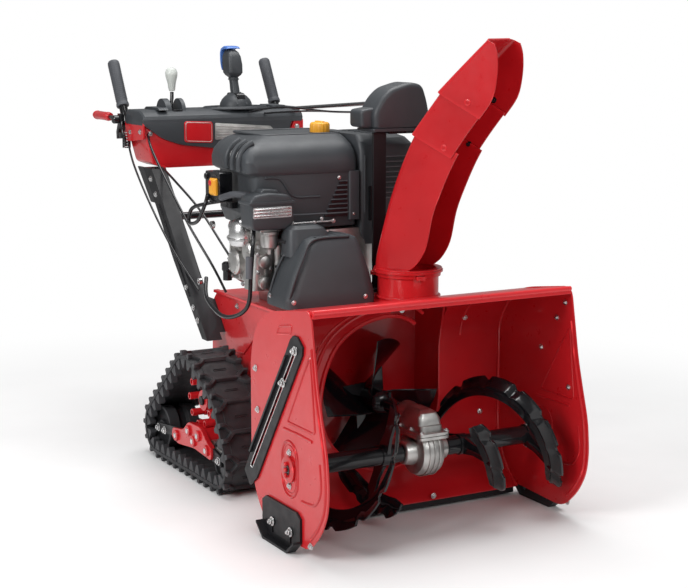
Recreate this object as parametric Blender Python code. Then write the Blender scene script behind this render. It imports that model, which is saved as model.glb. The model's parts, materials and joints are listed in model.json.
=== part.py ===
"""Tracked two-stage snowblower, 28 inch class, as separate solids on their joint axes.

Frame: metres, +Z up, ground at z = 0.  The auger opening faces -Y, the operator stands at +Y,
and +X is the operator's left.  The origin is on the ground under the middle of the machine.
"""
import bpy
import bmesh
from math import sin, cos, pi, radians, atan2, sqrt, hypot
from mathutils import Matrix, Vector

# ---------------------------------------------------------------- driving dimensions
GAP = 0.0003                 # clearance between pieces that touch
SHEET = 0.004                # steel sheet of the auger housing
HOUSING_X = 0.362            # outer face of each side plate
INTAKE_TOP = 0.578           # height of the housing's front lip
AUGER_Y = -0.630             # auger shaft axis
AUGER_Z = 0.193
AUGER_R = 0.178              # outer radius of the auger flights
FLIGHT_WIDTH = 0.048         # radial width of the ribbon flights
FLIGHT_LEAN = 0.011          # how far a flight's edges lean along the shaft
FLIGHT_HALF = 0.004          # half the thickness of a flight
AUGER_TWIST = 1050.0         # degrees of flight per metre of shaft
RIGHT_PHASE = radians(76)    # where each auger's long flight starts
LEFT_PHASE = radians(190)
SHAFT_R = 0.014              # auger shaft tube
IMPELLER_Z = 0.270           # impeller shaft axis, above the auger shaft by the worm offset
IMPELLER_R = 0.162
DRUM_R = 0.172               # inside radius of the impeller drum
DRUM_BACK = -0.305           # rear face of the impeller drum
CHUTE_X = 0.095              # chute turning axis
CHUTE_Y = -0.400
CHUTE_Z = 0.596              # underside of the turning collar
CHUTE_YAW = radians(30)      # the chute rests turned towards the operator's left
CHUTE_HALF = 0.066           # half width of the lower chute channel
DECK_Z = 0.480               # top of the chassis, where the engine stands
CHASSIS_X = 0.170            # half width of the chassis
CRANK_X = -0.050             # engine crankshaft axis
CRANK_Z = 0.590
TRACK_IN = 0.195             # inner and outer faces of each track
TRACK_OUT = 0.335
SPROCKET_Y = 0.010           # drive sprocket axis
SPROCKET_Z = 0.216
LUG = 0.014                  # height of the track's outer lugs
UPRIGHT_X = 0.188            # outer face of the handle uprights
GRIP_X = 0.252               # grip centre lines
GRIP_R = 0.018
STICK_X = 0.065              # joystick centre
STICK_Y = 0.560
STICK_Z = 0.962              # base of the joystick's dome
DOME_R = 0.050               # radius of the dome
SPEED_X = -0.140             # speed lever
SPEED_Y = 0.575
SPEED_Z = 0.930

RED = (0.53, 0.02, 0.025)
DARK_PLASTIC = (0.055, 0.06, 0.068)
BLACK_STEEL = (0.01, 0.01, 0.012)
RUBBER = (0.02, 0.02, 0.022)
ALUMINIUM = (0.5, 0.49, 0.48)


# ---------------------------------------------------------------- shape helpers
def arc(centre, radius, start, end, steps):
    """Points on a circular arc, angles in degrees."""
    points = []
    for i in range(steps + 1):
        angle = radians(start + (end - start) * i / steps)
        points.append((centre[0] + radius * cos(angle), centre[1] + radius * sin(angle)))
    return points


def rounded(corners, radius, steps=3):
    """A polygon with each corner replaced by a small curve."""
    result = []
    count = len(corners)
    for i in range(count):
        here = Vector(corners[i])
        before = Vector(corners[i - 1]) - here
        after = Vector(corners[(i + 1) % count]) - here
        reach = min(radius, 0.45 * before.length, 0.45 * after.length)
        first = here + before.normalized() * reach
        last = here + after.normalized() * reach
        for k in range(steps + 1):
            t = k / steps
            point = first * (1 - t) ** 2 + here * 2 * t * (1 - t) + last * t ** 2
            result.append((point.x, point.y))
    return result


def strip(path, thickness):
    """Closed outline of a sheet that follows a path, thickened to the path's right side."""
    normals = []
    for i in range(len(path)):
        a = Vector(path[max(i - 1, 0)])
        b = Vector(path[min(i + 1, len(path) - 1)])
        along = (b - a).normalized()
        normals.append(Vector((along.y, -along.x)))
    outer = [tuple(Vector(p) + n * thickness) for p, n in zip(path, normals)]
    return list(path) + outer[::-1]


def placed(axis, a, b, level):
    """A point whose two section coordinates lie in the plane across the axis."""
    if axis == "x":
        return (level, a, b)
    if axis == "y":
        return (a, level, b)
    return (a, b, level)


def prism(outline, axis, low, high):
    """Solid prism: the outline is (y, z), (x, z) or (x, y) for axis x, y or z."""
    mesh = bmesh.new()
    bottom = [mesh.verts.new(placed(axis, a, b, low)) for a, b in outline]
    top = [mesh.verts.new(placed(axis, a, b, high)) for a, b in outline]
    mesh.faces.new(bottom)
    mesh.faces.new(top[::-1])
    for i in range(len(outline)):
        k = (i + 1) % len(outline)
        mesh.faces.new((bottom[i], top[i], top[k], bottom[k]))
    bmesh.ops.recalc_face_normals(mesh, faces=mesh.faces)
    return mesh


def box(low, high):
    """Solid block between two corners."""
    return prism([(low[0], low[1]), (high[0], low[1]), (high[0], high[1]), (low[0], high[1])],
                 "z", low[2], high[2])


def lathe(profile, axis, centre, segments=24):
    """Turned solid: profile is (radius, level) pairs; a closed ring when no radius is zero."""
    mesh = bmesh.new()
    rings = []
    for radius, level in profile:
        if radius == 0:
            rings.append([mesh.verts.new(placed(axis, centre[0], centre[1], level))])
            continue
        ring = []
        for i in range(segments):
            angle = 2 * pi * i / segments
            a = centre[0] + radius * cos(angle)
            b = centre[1] + radius * sin(angle)
            ring.append(mesh.verts.new(placed(axis, a, b, level)))
        rings.append(ring)
    pairs = list(zip(rings, rings[1:]))
    if profile[0][0] != 0:
        pairs.append((rings[-1], rings[0]))
    for first, second in pairs:
        for i in range(segments):
            k = (i + 1) % segments
            if len(first) == 1:
                mesh.faces.new((first[0], second[i], second[k]))
            elif len(second) == 1:
                mesh.faces.new((first[i], second[0], first[k]))
            else:
                mesh.faces.new((first[i], second[i], second[k], first[k]))
    bmesh.ops.recalc_face_normals(mesh, faces=mesh.faces)
    return mesh


def rod(axis, centre, radius, low, high, segments=16):
    """Plain round bar."""
    return lathe([(0, low), (radius, low), (radius, high), (0, high)], axis, centre, segments)


def tube(axis, centre, outer, inner, low, high, segments=24):
    """Round tube."""
    return lathe([(inner, low), (outer, low), (outer, high), (inner, high)], axis, centre, segments)


def loft(sections):
    """Solid through sections that all have the same number of points."""
    mesh = bmesh.new()
    rings = [[mesh.verts.new(point) for point in section] for section in sections]
    for first, second in zip(rings, rings[1:]):
        for i in range(len(first)):
            k = (i + 1) % len(first)
            mesh.faces.new((first[i], second[i], second[k], first[k]))
    mesh.faces.new(rings[0])
    mesh.faces.new(rings[-1][::-1])
    bmesh.ops.recalc_face_normals(mesh, faces=mesh.faces)
    return mesh


def bar(points, radius, segments=10):
    """Round bar bent along a path."""
    path = [Vector(p) for p in points]
    sections = []
    side = None
    for i, here in enumerate(path):
        along = (path[min(i + 1, len(path) - 1)] - path[max(i - 1, 0)]).normalized()
        if side is None:
            side = along.orthogonal().normalized()
        side = (side - along * side.dot(along)).normalized()
        up = along.cross(side)
        ring = []
        for k in range(segments):
            angle = 2 * pi * k / segments
            ring.append(here + side * radius * cos(angle) + up * radius * sin(angle))
        sections.append(ring)
    return loft(sections)


def moved(mesh, matrix):
    """The same solid after a rotation or shift."""
    bmesh.ops.transform(mesh, matrix=matrix, verts=mesh.verts)
    return mesh


def mirrored(mesh):
    """The same solid on the other side of the machine."""
    bmesh.ops.scale(mesh, vec=(-1, 1, 1), verts=mesh.verts)
    bmesh.ops.recalc_face_normals(mesh, faces=mesh.faces)
    return mesh


def solid_object(mesh):
    """Wrap a mesh in an unnamed working object."""
    data = bpy.data.meshes.new("work")
    mesh.to_mesh(data)
    mesh.free()
    work = bpy.data.objects.new("work", data)
    bpy.context.scene.collection.objects.link(work)
    return work


def combined(first, second, operation):
    """Boolean of two solids, returned as a new solid."""
    a = solid_object(first)
    b = solid_object(second)
    cut = a.modifiers.new("cut", "BOOLEAN")
    cut.operation = operation
    cut.solver = "EXACT"
    cut.object = b
    bpy.context.view_layer.update()
    evaluated = a.evaluated_get(bpy.context.evaluated_depsgraph_get())
    result = bmesh.new()
    result.from_mesh(evaluated.to_mesh())
    for work in (a, b):
        data = work.data
        bpy.data.objects.remove(work)
        bpy.data.meshes.remove(data)
    bmesh.ops.remove_doubles(result, verts=result.verts, dist=1e-6)
    bmesh.ops.dissolve_degenerate(result, edges=result.edges, dist=1e-6)
    return result


def minus(solid, *cutters):
    for cutter in cutters:
        solid = combined(solid, cutter, "DIFFERENCE")
    return solid


def plus(solid, *others):
    for other in others:
        solid = combined(solid, other, "UNION")
    return solid


MATERIALS = {}


def material(name, colour, roughness, metallic=0.0):
    """One Principled material for each finish."""
    if name not in MATERIALS:
        made = bpy.data.materials.new(name)
        made.use_nodes = True
        surface = made.node_tree.nodes["Principled BSDF"]
        surface.inputs["Base Color"].default_value = (*colour, 1)
        surface.inputs["Roughness"].default_value = roughness
        surface.inputs["Metallic"].default_value = metallic
        MATERIALS[name] = made
    return MATERIALS[name]


def red_paint():
    return material("red_paint", RED, 0.25)


def dark_plastic():
    return material("dark_plastic", DARK_PLASTIC, 0.5)


def black_steel():
    return material("black_steel", BLACK_STEEL, 0.2, 0.3)


def rubber():
    return material("rubber", RUBBER, 0.7)


def cast_aluminium():
    return material("cast_aluminium", ALUMINIUM, 0.4, 1.0)


def bright_steel():
    return material("bright_steel", (0.6, 0.6, 0.6), 0.25, 1.0)


def node(name, mesh, finish, pivot=(0, 0, 0)):
    """Name a finished solid and put its origin on its pivot."""
    bmesh.ops.translate(mesh, vec=-Vector(pivot), verts=mesh.verts)
    data = bpy.data.meshes.new(name)
    mesh.to_mesh(data)
    mesh.free()
    data.materials.append(finish)
    data.shade_smooth()
    data.set_sharp_from_angle(angle=radians(35))
    made = bpy.data.objects.new(name, data)
    made.location = pivot
    bpy.context.scene.collection.objects.link(made)
    return made


def attach(child, parent):
    """Parent one node to another without moving it."""
    child.location = child.location - parent.location
    child.parent = parent


# ---------------------------------------------------------------- auger housing
def housing_path():
    """Inside line of the housing sheet in (y, z), from the front lip over the back to the bottom."""
    top = [(-0.735, INTAKE_TOP - 0.014), (-0.733, INTAKE_TOP - 0.002), (-0.725, INTAKE_TOP)]
    roof = [(-0.600, 0.556)]
    shoulder = arc((-0.580, 0.400), 0.152, 80, 8, 8)
    back = [(-0.428, 0.300)]
    bowl = arc((AUGER_Y, AUGER_Z), 0.200, 0, -58, 8)
    return top + roof + shoulder + back + bowl


def arch_outline(grow=0.0):
    """Mouth of the impeller drum in (x, z): a bowl below, an arch and the discharge box above."""
    radius = DRUM_R + grow
    bowl = arc((0, IMPELLER_Z), radius, 180, 360, 20)
    box_side = [(radius, 0.500 + grow), (0.150 + grow, 0.527 + grow), (0.020, 0.527 + grow)]
    height = 0.222 + grow
    arch = []
    for i in range(1, 9):
        angle = radians(92 + 88 * (i - 1) / 8)
        arch.append((radius * cos(angle), IMPELLER_Z + height * sin(angle)))
    return bowl + box_side + arch


def make_housing():
    width = HOUSING_X - SHEET - GAP
    sheet = prism(strip(housing_path(), -SHEET), "x", -width, width)
    mouth = prism(arch_outline(), "y", -0.595, -0.300)
    housing = minus(sheet, mouth)
    node("auger_housing", housing, red_paint())


def make_drum():
    """Impeller drum with its discharge box, trimmed to the back of the housing."""
    shell = prism(arch_outline(SHEET), "y", -0.590, DRUM_BACK)
    hollow = prism(arch_outline(), "y", -0.600, DRUM_BACK - SHEET)
    behind = strip(housing_path(), -SHEET - GAP)
    front = behind[len(behind) // 2:]
    keep_out = prism(front + [(-0.90, 0.60), (-0.90, -0.05), (-0.60, -0.05)], "x", -0.4, 0.4)
    outlet = rod("z", (CHUTE_X, CHUTE_Y), 0.070, 0.45, 0.60, 24)
    shaft_hole = rod("y", (0, IMPELLER_Z), 0.016, -0.35, -0.25, 16)
    drum = minus(shell, hollow, keep_out, outlet, shaft_hole)
    node("impeller_drum", drum, red_paint())


def make_neck():
    """Fixed neck that carries the chute."""
    low = 0.527 + SHEET + GAP
    high = CHUTE_Z - GAP
    profile = [(0.070, low), (0.078, low), (0.078, high), (0.070, high)]
    node("chute_neck", lathe(profile, "z", (CHUTE_X, CHUTE_Y), 32), red_paint())


def side_outline():
    """Side plate of the housing in (y, z)."""
    front = [(-0.735, 0.584), (-0.768, 0.410), (-0.788, 0.340), (-0.813, 0.258), (-0.820, 0.180)]
    lower = [(-0.812, 0.125), (-0.780, 0.072), (-0.722, 0.020)]
    back = [(-0.500, 0.030), (-0.450, 0.085), (-0.424, 0.150), (-0.424, 0.420), (-0.440, 0.477)]
    shoulder = [(-0.466, 0.514), (-0.510, 0.543), (-0.560, 0.557)]
    return front + lower + back + shoulder


def cutter_bolts():
    return [(-0.672, 0.482), (-0.610, 0.396)]


def skid_bolts():
    return [(-0.645, 0.046), (-0.550, 0.046)]


def bolt(x, y, z, reach, head):
    """Stud with a hexagon head that clamps a slotted piece to the side plate."""
    shank = rod("x", (y, z), 0.004, x - 0.001, x + reach + 0.003, 10)
    nut = lathe([(0, x + reach), (head, x + reach), (head, x + reach + 0.007), (0, x + reach + 0.007)],
                "x", (y, z), 6)
    return plus(shank, nut)


def make_side_plate(name, mirror):
    plate = prism(side_outline(), "x", HOUSING_X - SHEET, HOUSING_X)
    plate = minus(plate, rod("x", (AUGER_Y, AUGER_Z), 0.0205, 0.3, 0.4, 24))
    for y, z in cutter_bolts():
        plate = plus(plate, bolt(HOUSING_X, y, z, 0.0125, 0.010))
    for y, z in skid_bolts():
        plate = plus(plate, bolt(HOUSING_X, y, z, 0.0075, 0.010))
    if mirror:
        plate = mirrored(plate)
    node(name, plate, red_paint())


def slot_cutter(start, end, half, low, high):
    """Round-ended slot across x, between two (y, z) points."""
    a = Vector(start)
    b = Vector(end)
    turn = atan2(b.y - a.y, b.x - a.x) * 180 / pi
    outline = arc(a, half, turn + 90, turn + 270, 6) + arc(b, half, turn - 90, turn + 90, 6)
    return prism(outline, "x", low, high)


def make_drift_cutter(name, mirror):
    """Slotted bar that stands up to break a drift; it slides along its slot."""
    outline = [(-0.660, 0.516), (-0.680, 0.516), (-0.706, 0.496), (-0.703, 0.476), (-0.462, 0.130),
               (-0.424, 0.103), (-0.394, 0.135), (-0.645, 0.505)]
    cutter = prism(outline, "x", HOUSING_X + GAP, HOUSING_X + 0.0055)
    low_bolt = Vector(cutter_bolts()[1])
    high_bolt = Vector(cutter_bolts()[0])
    along = (low_bolt - high_bolt).normalized()
    slot = slot_cutter(high_bolt - along * 0.004, low_bolt + along * 0.295, 0.0048, 0.3, 0.4)
    rib_line = [high_bolt + along * 0.04, low_bolt + along * 0.27]
    cutter = minus(cutter, slot)
    side = Vector((along.y, -along.x))
    rib = []
    for point in rib_line:
        rib.append(tuple(point - side * 0.020))
    for point in rib_line[::-1]:
        rib.append(tuple(point - side * 0.026))
    cutter = plus(cutter, prism(rib, "x", HOUSING_X + 0.004, HOUSING_X + 0.012))
    if mirror:
        cutter = mirrored(cutter)
    node(name, cutter, black_steel())


def make_skid(name, mirror):
    """Adjustable skid shoe: an upright plate with two slots and a turned-out sole."""
    low = HOUSING_X + GAP
    front, back = -0.692, -0.494
    plate = [(front, 0.030), (front + 0.035, 0.0), (back - 0.035, 0.0), (back, 0.030), (back, 0.088),
             (back - 0.020, 0.100), (front + 0.020, 0.100), (front, 0.088)]
    shoe = prism(plate, "x", low, low + 0.006)
    sole = [(front, 0.030), (front + 0.035, 0.0), (back - 0.035, 0.0), (back, 0.030), (back, 0.036),
            (back - 0.037, 0.006), (front + 0.037, 0.006), (front, 0.036)]
    shoe = plus(shoe, prism(sole, "x", low + 0.002, low + 0.024))
    for y, z in skid_bolts():
        shoe = minus(shoe, slot_cutter((y, z - 0.024), (y, z + 0.001), 0.0048, 0.3, 0.3687))
    if mirror:
        shoe = mirrored(shoe)
    node(name, shoe, black_steel())


def make_scraper():
    """Replaceable edge under the mouth of the housing."""
    outline = [(-0.5200, 0.006), (-0.4750, 0.006), (-0.4750, 0.011), (-0.5100, 0.011),
               (-0.5140, 0.0235), (-0.5190, 0.0205)]
    node("scraper_bar", prism(outline, "x", -0.350, 0.350), black_steel())


def make_bearing(name, mirror):
    """Flanged bush of the auger shaft in the side plate."""
    bore = SHAFT_R + GAP
    profile = [(bore, 0.348), (0.020, 0.348), (0.020, HOUSING_X + GAP), (0.030, HOUSING_X + GAP),
               (0.030, HOUSING_X + 0.005), (bore, HOUSING_X + 0.005)]
    bush = lathe(profile, "x", (AUGER_Y, AUGER_Z), 24)
    if mirror:
        bush = mirrored(bush)
    node(name, bush, bright_steel())


# ---------------------------------------------------------------- augers and impeller
def flight_point(x, angle, radius):
    """Angle is measured from straight ahead (-Y) upwards."""
    return (x, AUGER_Y - radius * cos(angle), AUGER_Z + radius * sin(angle))


def flight_angle(phase, x):
    """The flights fall away from the middle of the machine towards the side plates."""
    return phase - radians(AUGER_TWIST) * (x - 0.1)


def ribbon(phase, start, end, steps):
    """One helical flight of the operator's-left auger; its outer edge leans to the side plate."""
    corners = [(-FLIGHT_LEAN - FLIGHT_HALF, AUGER_R - FLIGHT_WIDTH), (FLIGHT_LEAN - FLIGHT_HALF, AUGER_R),
               (FLIGHT_LEAN + FLIGHT_HALF, AUGER_R), (-FLIGHT_LEAN + FLIGHT_HALF, AUGER_R - FLIGHT_WIDTH)]
    sections = []
    for i in range(steps + 1):
        x = start + (end - start) * i / steps
        angle = flight_angle(phase, x)
        sections.append([flight_point(x + shift, angle, radius) for shift, radius in corners])
    return loft(sections)


def paddle_arm(x, angle):
    """Flat arm from the auger sleeve out to its flight."""
    half_width, half_depth = 0.016, 0.004
    across = Vector((0, sin(angle), cos(angle)))
    out = Vector((0, -cos(angle), sin(angle)))
    centre = Vector((x, AUGER_Y, AUGER_Z))
    sections = []
    for radius in (SHAFT_R + 0.006, AUGER_R - 0.020):
        ring = []
        for along, side in ((-1, -1), (1, -1), (1, 1), (-1, 1)):
            ring.append(centre + out * radius + across * half_width * side
                        + Vector((half_depth * along, 0, 0)))
        sections.append(ring)
    return loft(sections)


def make_auger(name, phase, mirror):
    """A long and a short flight on arms around a sleeve that turns with the shaft."""
    auger = tube("x", (AUGER_Y, AUGER_Z), SHAFT_R + 0.009, SHAFT_R + GAP, 0.064, 0.340, 24)
    flights = [(phase, 0.085, 0.332, 20, (0.110, 0.300)), (phase + pi, 0.078, 0.150, 8, (0.112,))]
    for turn, start, end, steps, arms in flights:
        auger = plus(auger, ribbon(turn, start, end, steps))
        for x in arms:
            auger = plus(auger, paddle_arm(x, flight_angle(turn, x)))
    if mirror:
        auger = mirrored(auger)
    node(name, auger, black_steel(), (0, AUGER_Y, AUGER_Z))


def make_auger_shaft():
    length = HOUSING_X + 0.010
    shaft = rod("x", (AUGER_Y, AUGER_Z), SHAFT_R, -length, length, 24)
    node("auger_shaft", shaft, black_steel(), (0, AUGER_Y, AUGER_Z))


def make_gearcase():
    """Worm gear case with its bolted cap, around the auger shaft and the front of the impeller shaft."""
    gear_side = rod("x", (AUGER_Y, AUGER_Z), 0.062, -0.030, 0.030, 28)
    hub = rod("x", (AUGER_Y, AUGER_Z), 0.030, -0.060, 0.060, 24)
    neck = box((-0.034, AUGER_Y - 0.045, 0.215), (0.034, AUGER_Y + 0.045, 0.262))
    worm_tube = rod("y", (0, IMPELLER_Z), 0.026, AUGER_Y - 0.062, AUGER_Y + 0.100, 20)
    case = plus(gear_side, hub, neck, worm_tube)
    shaft_bore = rod("x", (AUGER_Y, AUGER_Z), SHAFT_R + GAP, -0.1, 0.1, 24)
    worm_bore = rod("y", (0, IMPELLER_Z), 0.0103, AUGER_Y - 0.040, -0.4, 20)
    node("auger_gearcase", minus(case, shaft_bore, worm_bore), cast_aluminium())


def impeller_blade(turn):
    """Curved throwing blade, drawn pointing up and turned to its place."""
    root, bend, thickness, steps = 0.022, 0.034, 0.006, 8
    face, rear = [], []
    for i in range(steps + 1):
        t = i / steps
        face.append((bend * t * t, root + (IMPELLER_R - root) * t))
        rear.append((bend * t * t - thickness, root + (IMPELLER_R - root - 0.002) * t))
    blade = prism(face + rear[::-1], "y", -0.432, -0.330)
    return moved(blade, Matrix.Translation((0, 0, IMPELLER_Z)) @ Matrix.Rotation(turn, 4, "Y"))


def make_impeller():
    """Four blades on a hub, welded to the shaft that runs from the worm to the belt pulley."""
    impeller = plus(rod("y", (0, IMPELLER_Z), 0.030, -0.436, -0.326, 24),
                    rod("y", (0, IMPELLER_Z), 0.010, AUGER_Y - 0.035, -0.255, 20))
    for i in range(4):
        impeller = plus(impeller, impeller_blade(i * pi / 2 + 0.3))
    node("impeller", impeller, black_steel(), (0, AUGER_Y, IMPELLER_Z))


# ---------------------------------------------------------------- belt drive
PULLEY_FRONT = -0.292
PULLEY_BACK = -0.268
IMPELLER_PULLEY_R = 0.100
ENGINE_PULLEY_R = 0.040


def pulley(centre, radius, bore):
    """Grooved pulley; the groove leaves room for the belt."""
    middle = (PULLEY_FRONT + PULLEY_BACK) / 2
    profile = [(bore, PULLEY_FRONT), (radius + 0.006, PULLEY_FRONT), (radius + 0.006, PULLEY_FRONT + 0.003),
               (radius - 0.004, middle - 0.005), (radius - 0.004, middle + 0.005),
               (radius + 0.006, PULLEY_BACK - 0.003), (radius + 0.006, PULLEY_BACK), (bore, PULLEY_BACK)]
    return lathe(profile, "y", centre, 28)


def belt_outline(grow):
    """Belt line around both pulleys in (x, z)."""
    small = Vector((CRANK_X, CRANK_Z))
    large = Vector((0, IMPELLER_Z))
    across = large - small
    lean = atan2(across.y, across.x)
    spread = atan2(IMPELLER_PULLEY_R - ENGINE_PULLEY_R, sqrt(across.length ** 2
                   - (IMPELLER_PULLEY_R - ENGINE_PULLEY_R) ** 2))
    side = pi / 2 + spread
    big_arc = arc(large, IMPELLER_PULLEY_R + grow, (lean - side) * 180 / pi, (lean + side) * 180 / pi, 18)
    small_arc = arc(small, ENGINE_PULLEY_R + grow, (lean + side) * 180 / pi,
                    (lean + 2 * pi - side) * 180 / pi, 12)
    return big_arc + small_arc


def make_belt_drive():
    middle = (PULLEY_FRONT + PULLEY_BACK) / 2
    outer = prism(belt_outline(0.008), "y", middle - 0.0045, middle + 0.0045)
    inner = prism(belt_outline(0.0), "y", middle - 0.02, middle + 0.02)
    node("drive_belt", minus(outer, inner), rubber())
    large = pulley((0, IMPELLER_Z), IMPELLER_PULLEY_R, 0.0102)
    node("impeller_pulley", large, bright_steel(), (0, AUGER_Y, IMPELLER_Z))
    small = pulley((CRANK_X, CRANK_Z), ENGINE_PULLEY_R, 0.0122)
    crank = rod("y", (CRANK_X, CRANK_Z), 0.013, -0.296, -0.2455, 16)
    node("engine_pulley", plus(small, crank), bright_steel(), (CRANK_X, PULLEY_FRONT, CRANK_Z))


def belt_cover_skin(inset):
    """Outside of the belt cover, or its hollow when it is set in."""
    bottom, top = 0.530 - inset * 5, 0.690 - inset
    left, back = -0.014 - inset, -0.262 + inset * 2
    foot = [(-0.245 + inset, -0.395 + inset), (left, -0.395 + inset), (left, back), (-0.245 + inset, back)]
    head = [(-0.165 + inset, -0.350 + inset), (left, -0.350 + inset), (left, back), (-0.165 + inset, back)]
    return loft([[(x, y, bottom) for x, y in foot], [(x, y, top) for x, y in head]])


def make_belt_cover():
    """Moulded cover over the engine pulley, open at the back and below."""
    below = box((-0.23, -0.34, 0.40), (-0.018, -0.20, 0.60))
    pulley_room = rod("y", (CRANK_X, CRANK_Z), 0.058, -0.31, -0.20, 28)
    cover = minus(belt_cover_skin(0.0), belt_cover_skin(0.004), below, pulley_room)
    node("belt_cover", cover, dark_plastic())


# ---------------------------------------------------------------- chute
def smoothed(stations, steps):
    """More stations along the same line, on a curve through the given ones."""
    rows = [Vector((*back, *front)) for back, front in stations]
    result = []
    for i in range(len(rows) - 1):
        before, a, b, after = rows[max(i - 1, 0)], rows[i], rows[i + 1], rows[min(i + 2, len(rows) - 1)]
        for k in range(steps):
            t = k / steps
            bend = (b - before) * (t - 2 * t ** 2 + t ** 3) / 2 + (after - a) * (t ** 3 - t ** 2) / 2
            result.append(a * (1 - 3 * t ** 2 + 2 * t ** 3) + b * (3 * t ** 2 - 2 * t ** 3) + bend)
    result.append(rows[-1])
    return [((row[0], row[1]), (row[2], row[3])) for row in result]


def half_section(back, front, half, set_in):
    """Wall and bent corner of the channel on the +X side, from the open edge to the back."""
    base = Vector(back)
    reach = Vector(front) - base
    depth = reach.length
    reach.normalize()
    bend = 0.012
    corner = [(half, depth), (half, min(bend, depth * 0.4) + set_in * 0.7),
              (half - bend * 0.3, bend * 0.1 + set_in * 1.4), (half - bend, set_in)]
    points = []
    for side, distance in corner:
        point = base + reach * distance
        points.append((side, -point.x, point.y))
    return points


def channel(stations, half, thickness):
    """Open U channel along stations of back and front points in (forward, height)."""
    sections = []
    for back, front in stations:
        outer = half_section(back, front, half, 0.0)
        inner = half_section(back, front, half - thickness, thickness)
        ring = outer + [(-x, y, z) for x, y, z in outer[::-1]]
        sections.append(ring + [(-x, y, z) for x, y, z in inner] + inner[::-1])
    return loft(sections)


def chute_matrix():
    """From the chute's own frame, throwing towards -Y, to its resting direction."""
    return Matrix.Translation((CHUTE_X, CHUTE_Y, 0)) @ Matrix.Rotation(CHUTE_YAW, 4, "Z")


LOWER_STATIONS = [((-0.064, 0.606), (0.046, 0.606)), ((-0.060, 0.650), (0.068, 0.640)),
                  ((-0.046, 0.700), (0.092, 0.680)), ((-0.023, 0.781), (0.103, 0.750)),
                  ((0.006, 0.860), (0.128, 0.815)), ((0.036, 0.926), (0.152, 0.868)),
                  ((0.056, 0.962), (0.172, 0.905))]
MIDDLE_STATIONS = [((0.0400, 0.949), (0.153, 0.893)), ((0.082, 1.004), (0.192, 0.948)),
                   ((0.124, 1.058), (0.232, 1.000))]
UPPER_STATIONS = [((0.1125, 1.0535), (0.230, 0.991)), ((0.152, 1.092), (0.264, 1.040)),
                  ((0.192, 1.130), (0.276, 1.095)), ((0.224, 1.160), (0.276, 1.142)),
                  ((0.246, 1.180), (0.268, 1.170))]
MIDDLE_PIVOT = (0.135, 0.918)
UPPER_PIVOT = (0.200, 1.030)


def pivot_world(pivot):
    local = Vector((0, -pivot[0], pivot[1]))
    return tuple(chute_matrix() @ local)


def make_chute():
    collar = tube("z", (0, 0), 0.089, 0.070, CHUTE_Z, CHUTE_Z + 0.010, 32)
    lower = plus(channel(smoothed(LOWER_STATIONS, 2), CHUTE_HALF, 0.003), collar)
    lower = moved(lower, chute_matrix())
    node("chute_lower", lower, red_paint(), (CHUTE_X, CHUTE_Y, CHUTE_Z))
    middle = channel(smoothed(MIDDLE_STATIONS, 2), CHUTE_HALF + 0.0035, 0.003)
    node("deflector_middle", moved(middle, chute_matrix()), red_paint(), pivot_world(MIDDLE_PIVOT))
    upper = channel(smoothed(UPPER_STATIONS, 2), CHUTE_HALF + 0.007, 0.003)
    node("deflector_upper", moved(upper, chute_matrix()), red_paint(), pivot_world(UPPER_PIVOT))


def make_chute_control():
    """Post behind the chute, its cover and the rod that comes from the joystick."""
    post = box((0.050, -0.300, 0.5325), (0.088, -0.292, 0.942))
    side = box((0.084, -0.300, 0.5325), (0.088, -0.272, 0.942))
    foot = box((0.030, -0.322, 0.5325), (0.110, -0.292, 0.540))
    node("control_post", plus(post, side, foot), black_steel())
    outline = [(0.046, 0.945), (0.046, 0.995), (0.090, 1.052), (0.150, 1.068), (0.190, 1.060),
               (0.212, 0.980), (0.190, 0.945)]
    cover = prism(rounded(outline, 0.012), "y", -0.315, -0.235)
    hollow = prism([(0.050, 0.93), (0.050, 0.993), (0.092, 1.047), (0.150, 1.063), (0.186, 1.055),
                    (0.206, 0.982), (0.186, 0.93)], "y", -0.311, -0.239)
    cover = minus(cover, hollow)
    node("control_cover", cover, dark_plastic())
    start = Vector((0.230, 0.505, 0.962))
    end = Vector((0.075, -0.225, 1.012))
    node("control_rod", bar([start, end], 0.0055), black_steel(), tuple(start))


# ---------------------------------------------------------------- chassis and handle
def make_chassis():
    """Folded steel box between the tracks that carries the housing, engine and handle."""
    outline = [(-0.300, 0.110), (-0.300, DECK_Z), (0.190, DECK_Z), (0.230, 0.440), (0.230, 0.260),
               (0.120, 0.130)]
    shell = prism(outline, "x", -CHASSIS_X, CHASSIS_X)
    inner = [(-0.2501, 0.090), (-0.2501, DECK_Z - 0.004), (0.188, DECK_Z - 0.004), (0.226, 0.438),
             (0.226, 0.262), (0.118, 0.090)]
    hollow = prism(inner, "x", -CHASSIS_X + 0.004, CHASSIS_X - 0.004)
    belt_room = prism([(-0.310, 0.05), (-0.310, 0.6), (-0.254, 0.6), (-0.254, 0.05)], "x", -0.130, 0.130)
    axle_hole = rod("x", (SPROCKET_Y, SPROCKET_Z), 0.0125, -0.3, 0.3, 20)
    node("chassis", minus(shell, hollow, belt_room, axle_hole), red_paint())


def upright_outline(inset=0.0):
    """Handle upright in (y, z)."""
    low, high = 0.352 + inset, 0.7980 - inset
    rear = [(0.160 - 1.2 * inset, low), (0.352 - inset, 0.546), (0.572 - 1.2 * inset, high)]
    front = [(0.506 + 1.2 * inset, high), (0.297 + inset, 0.553), (0.124 + 1.2 * inset, low)]
    return rear + front


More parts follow.
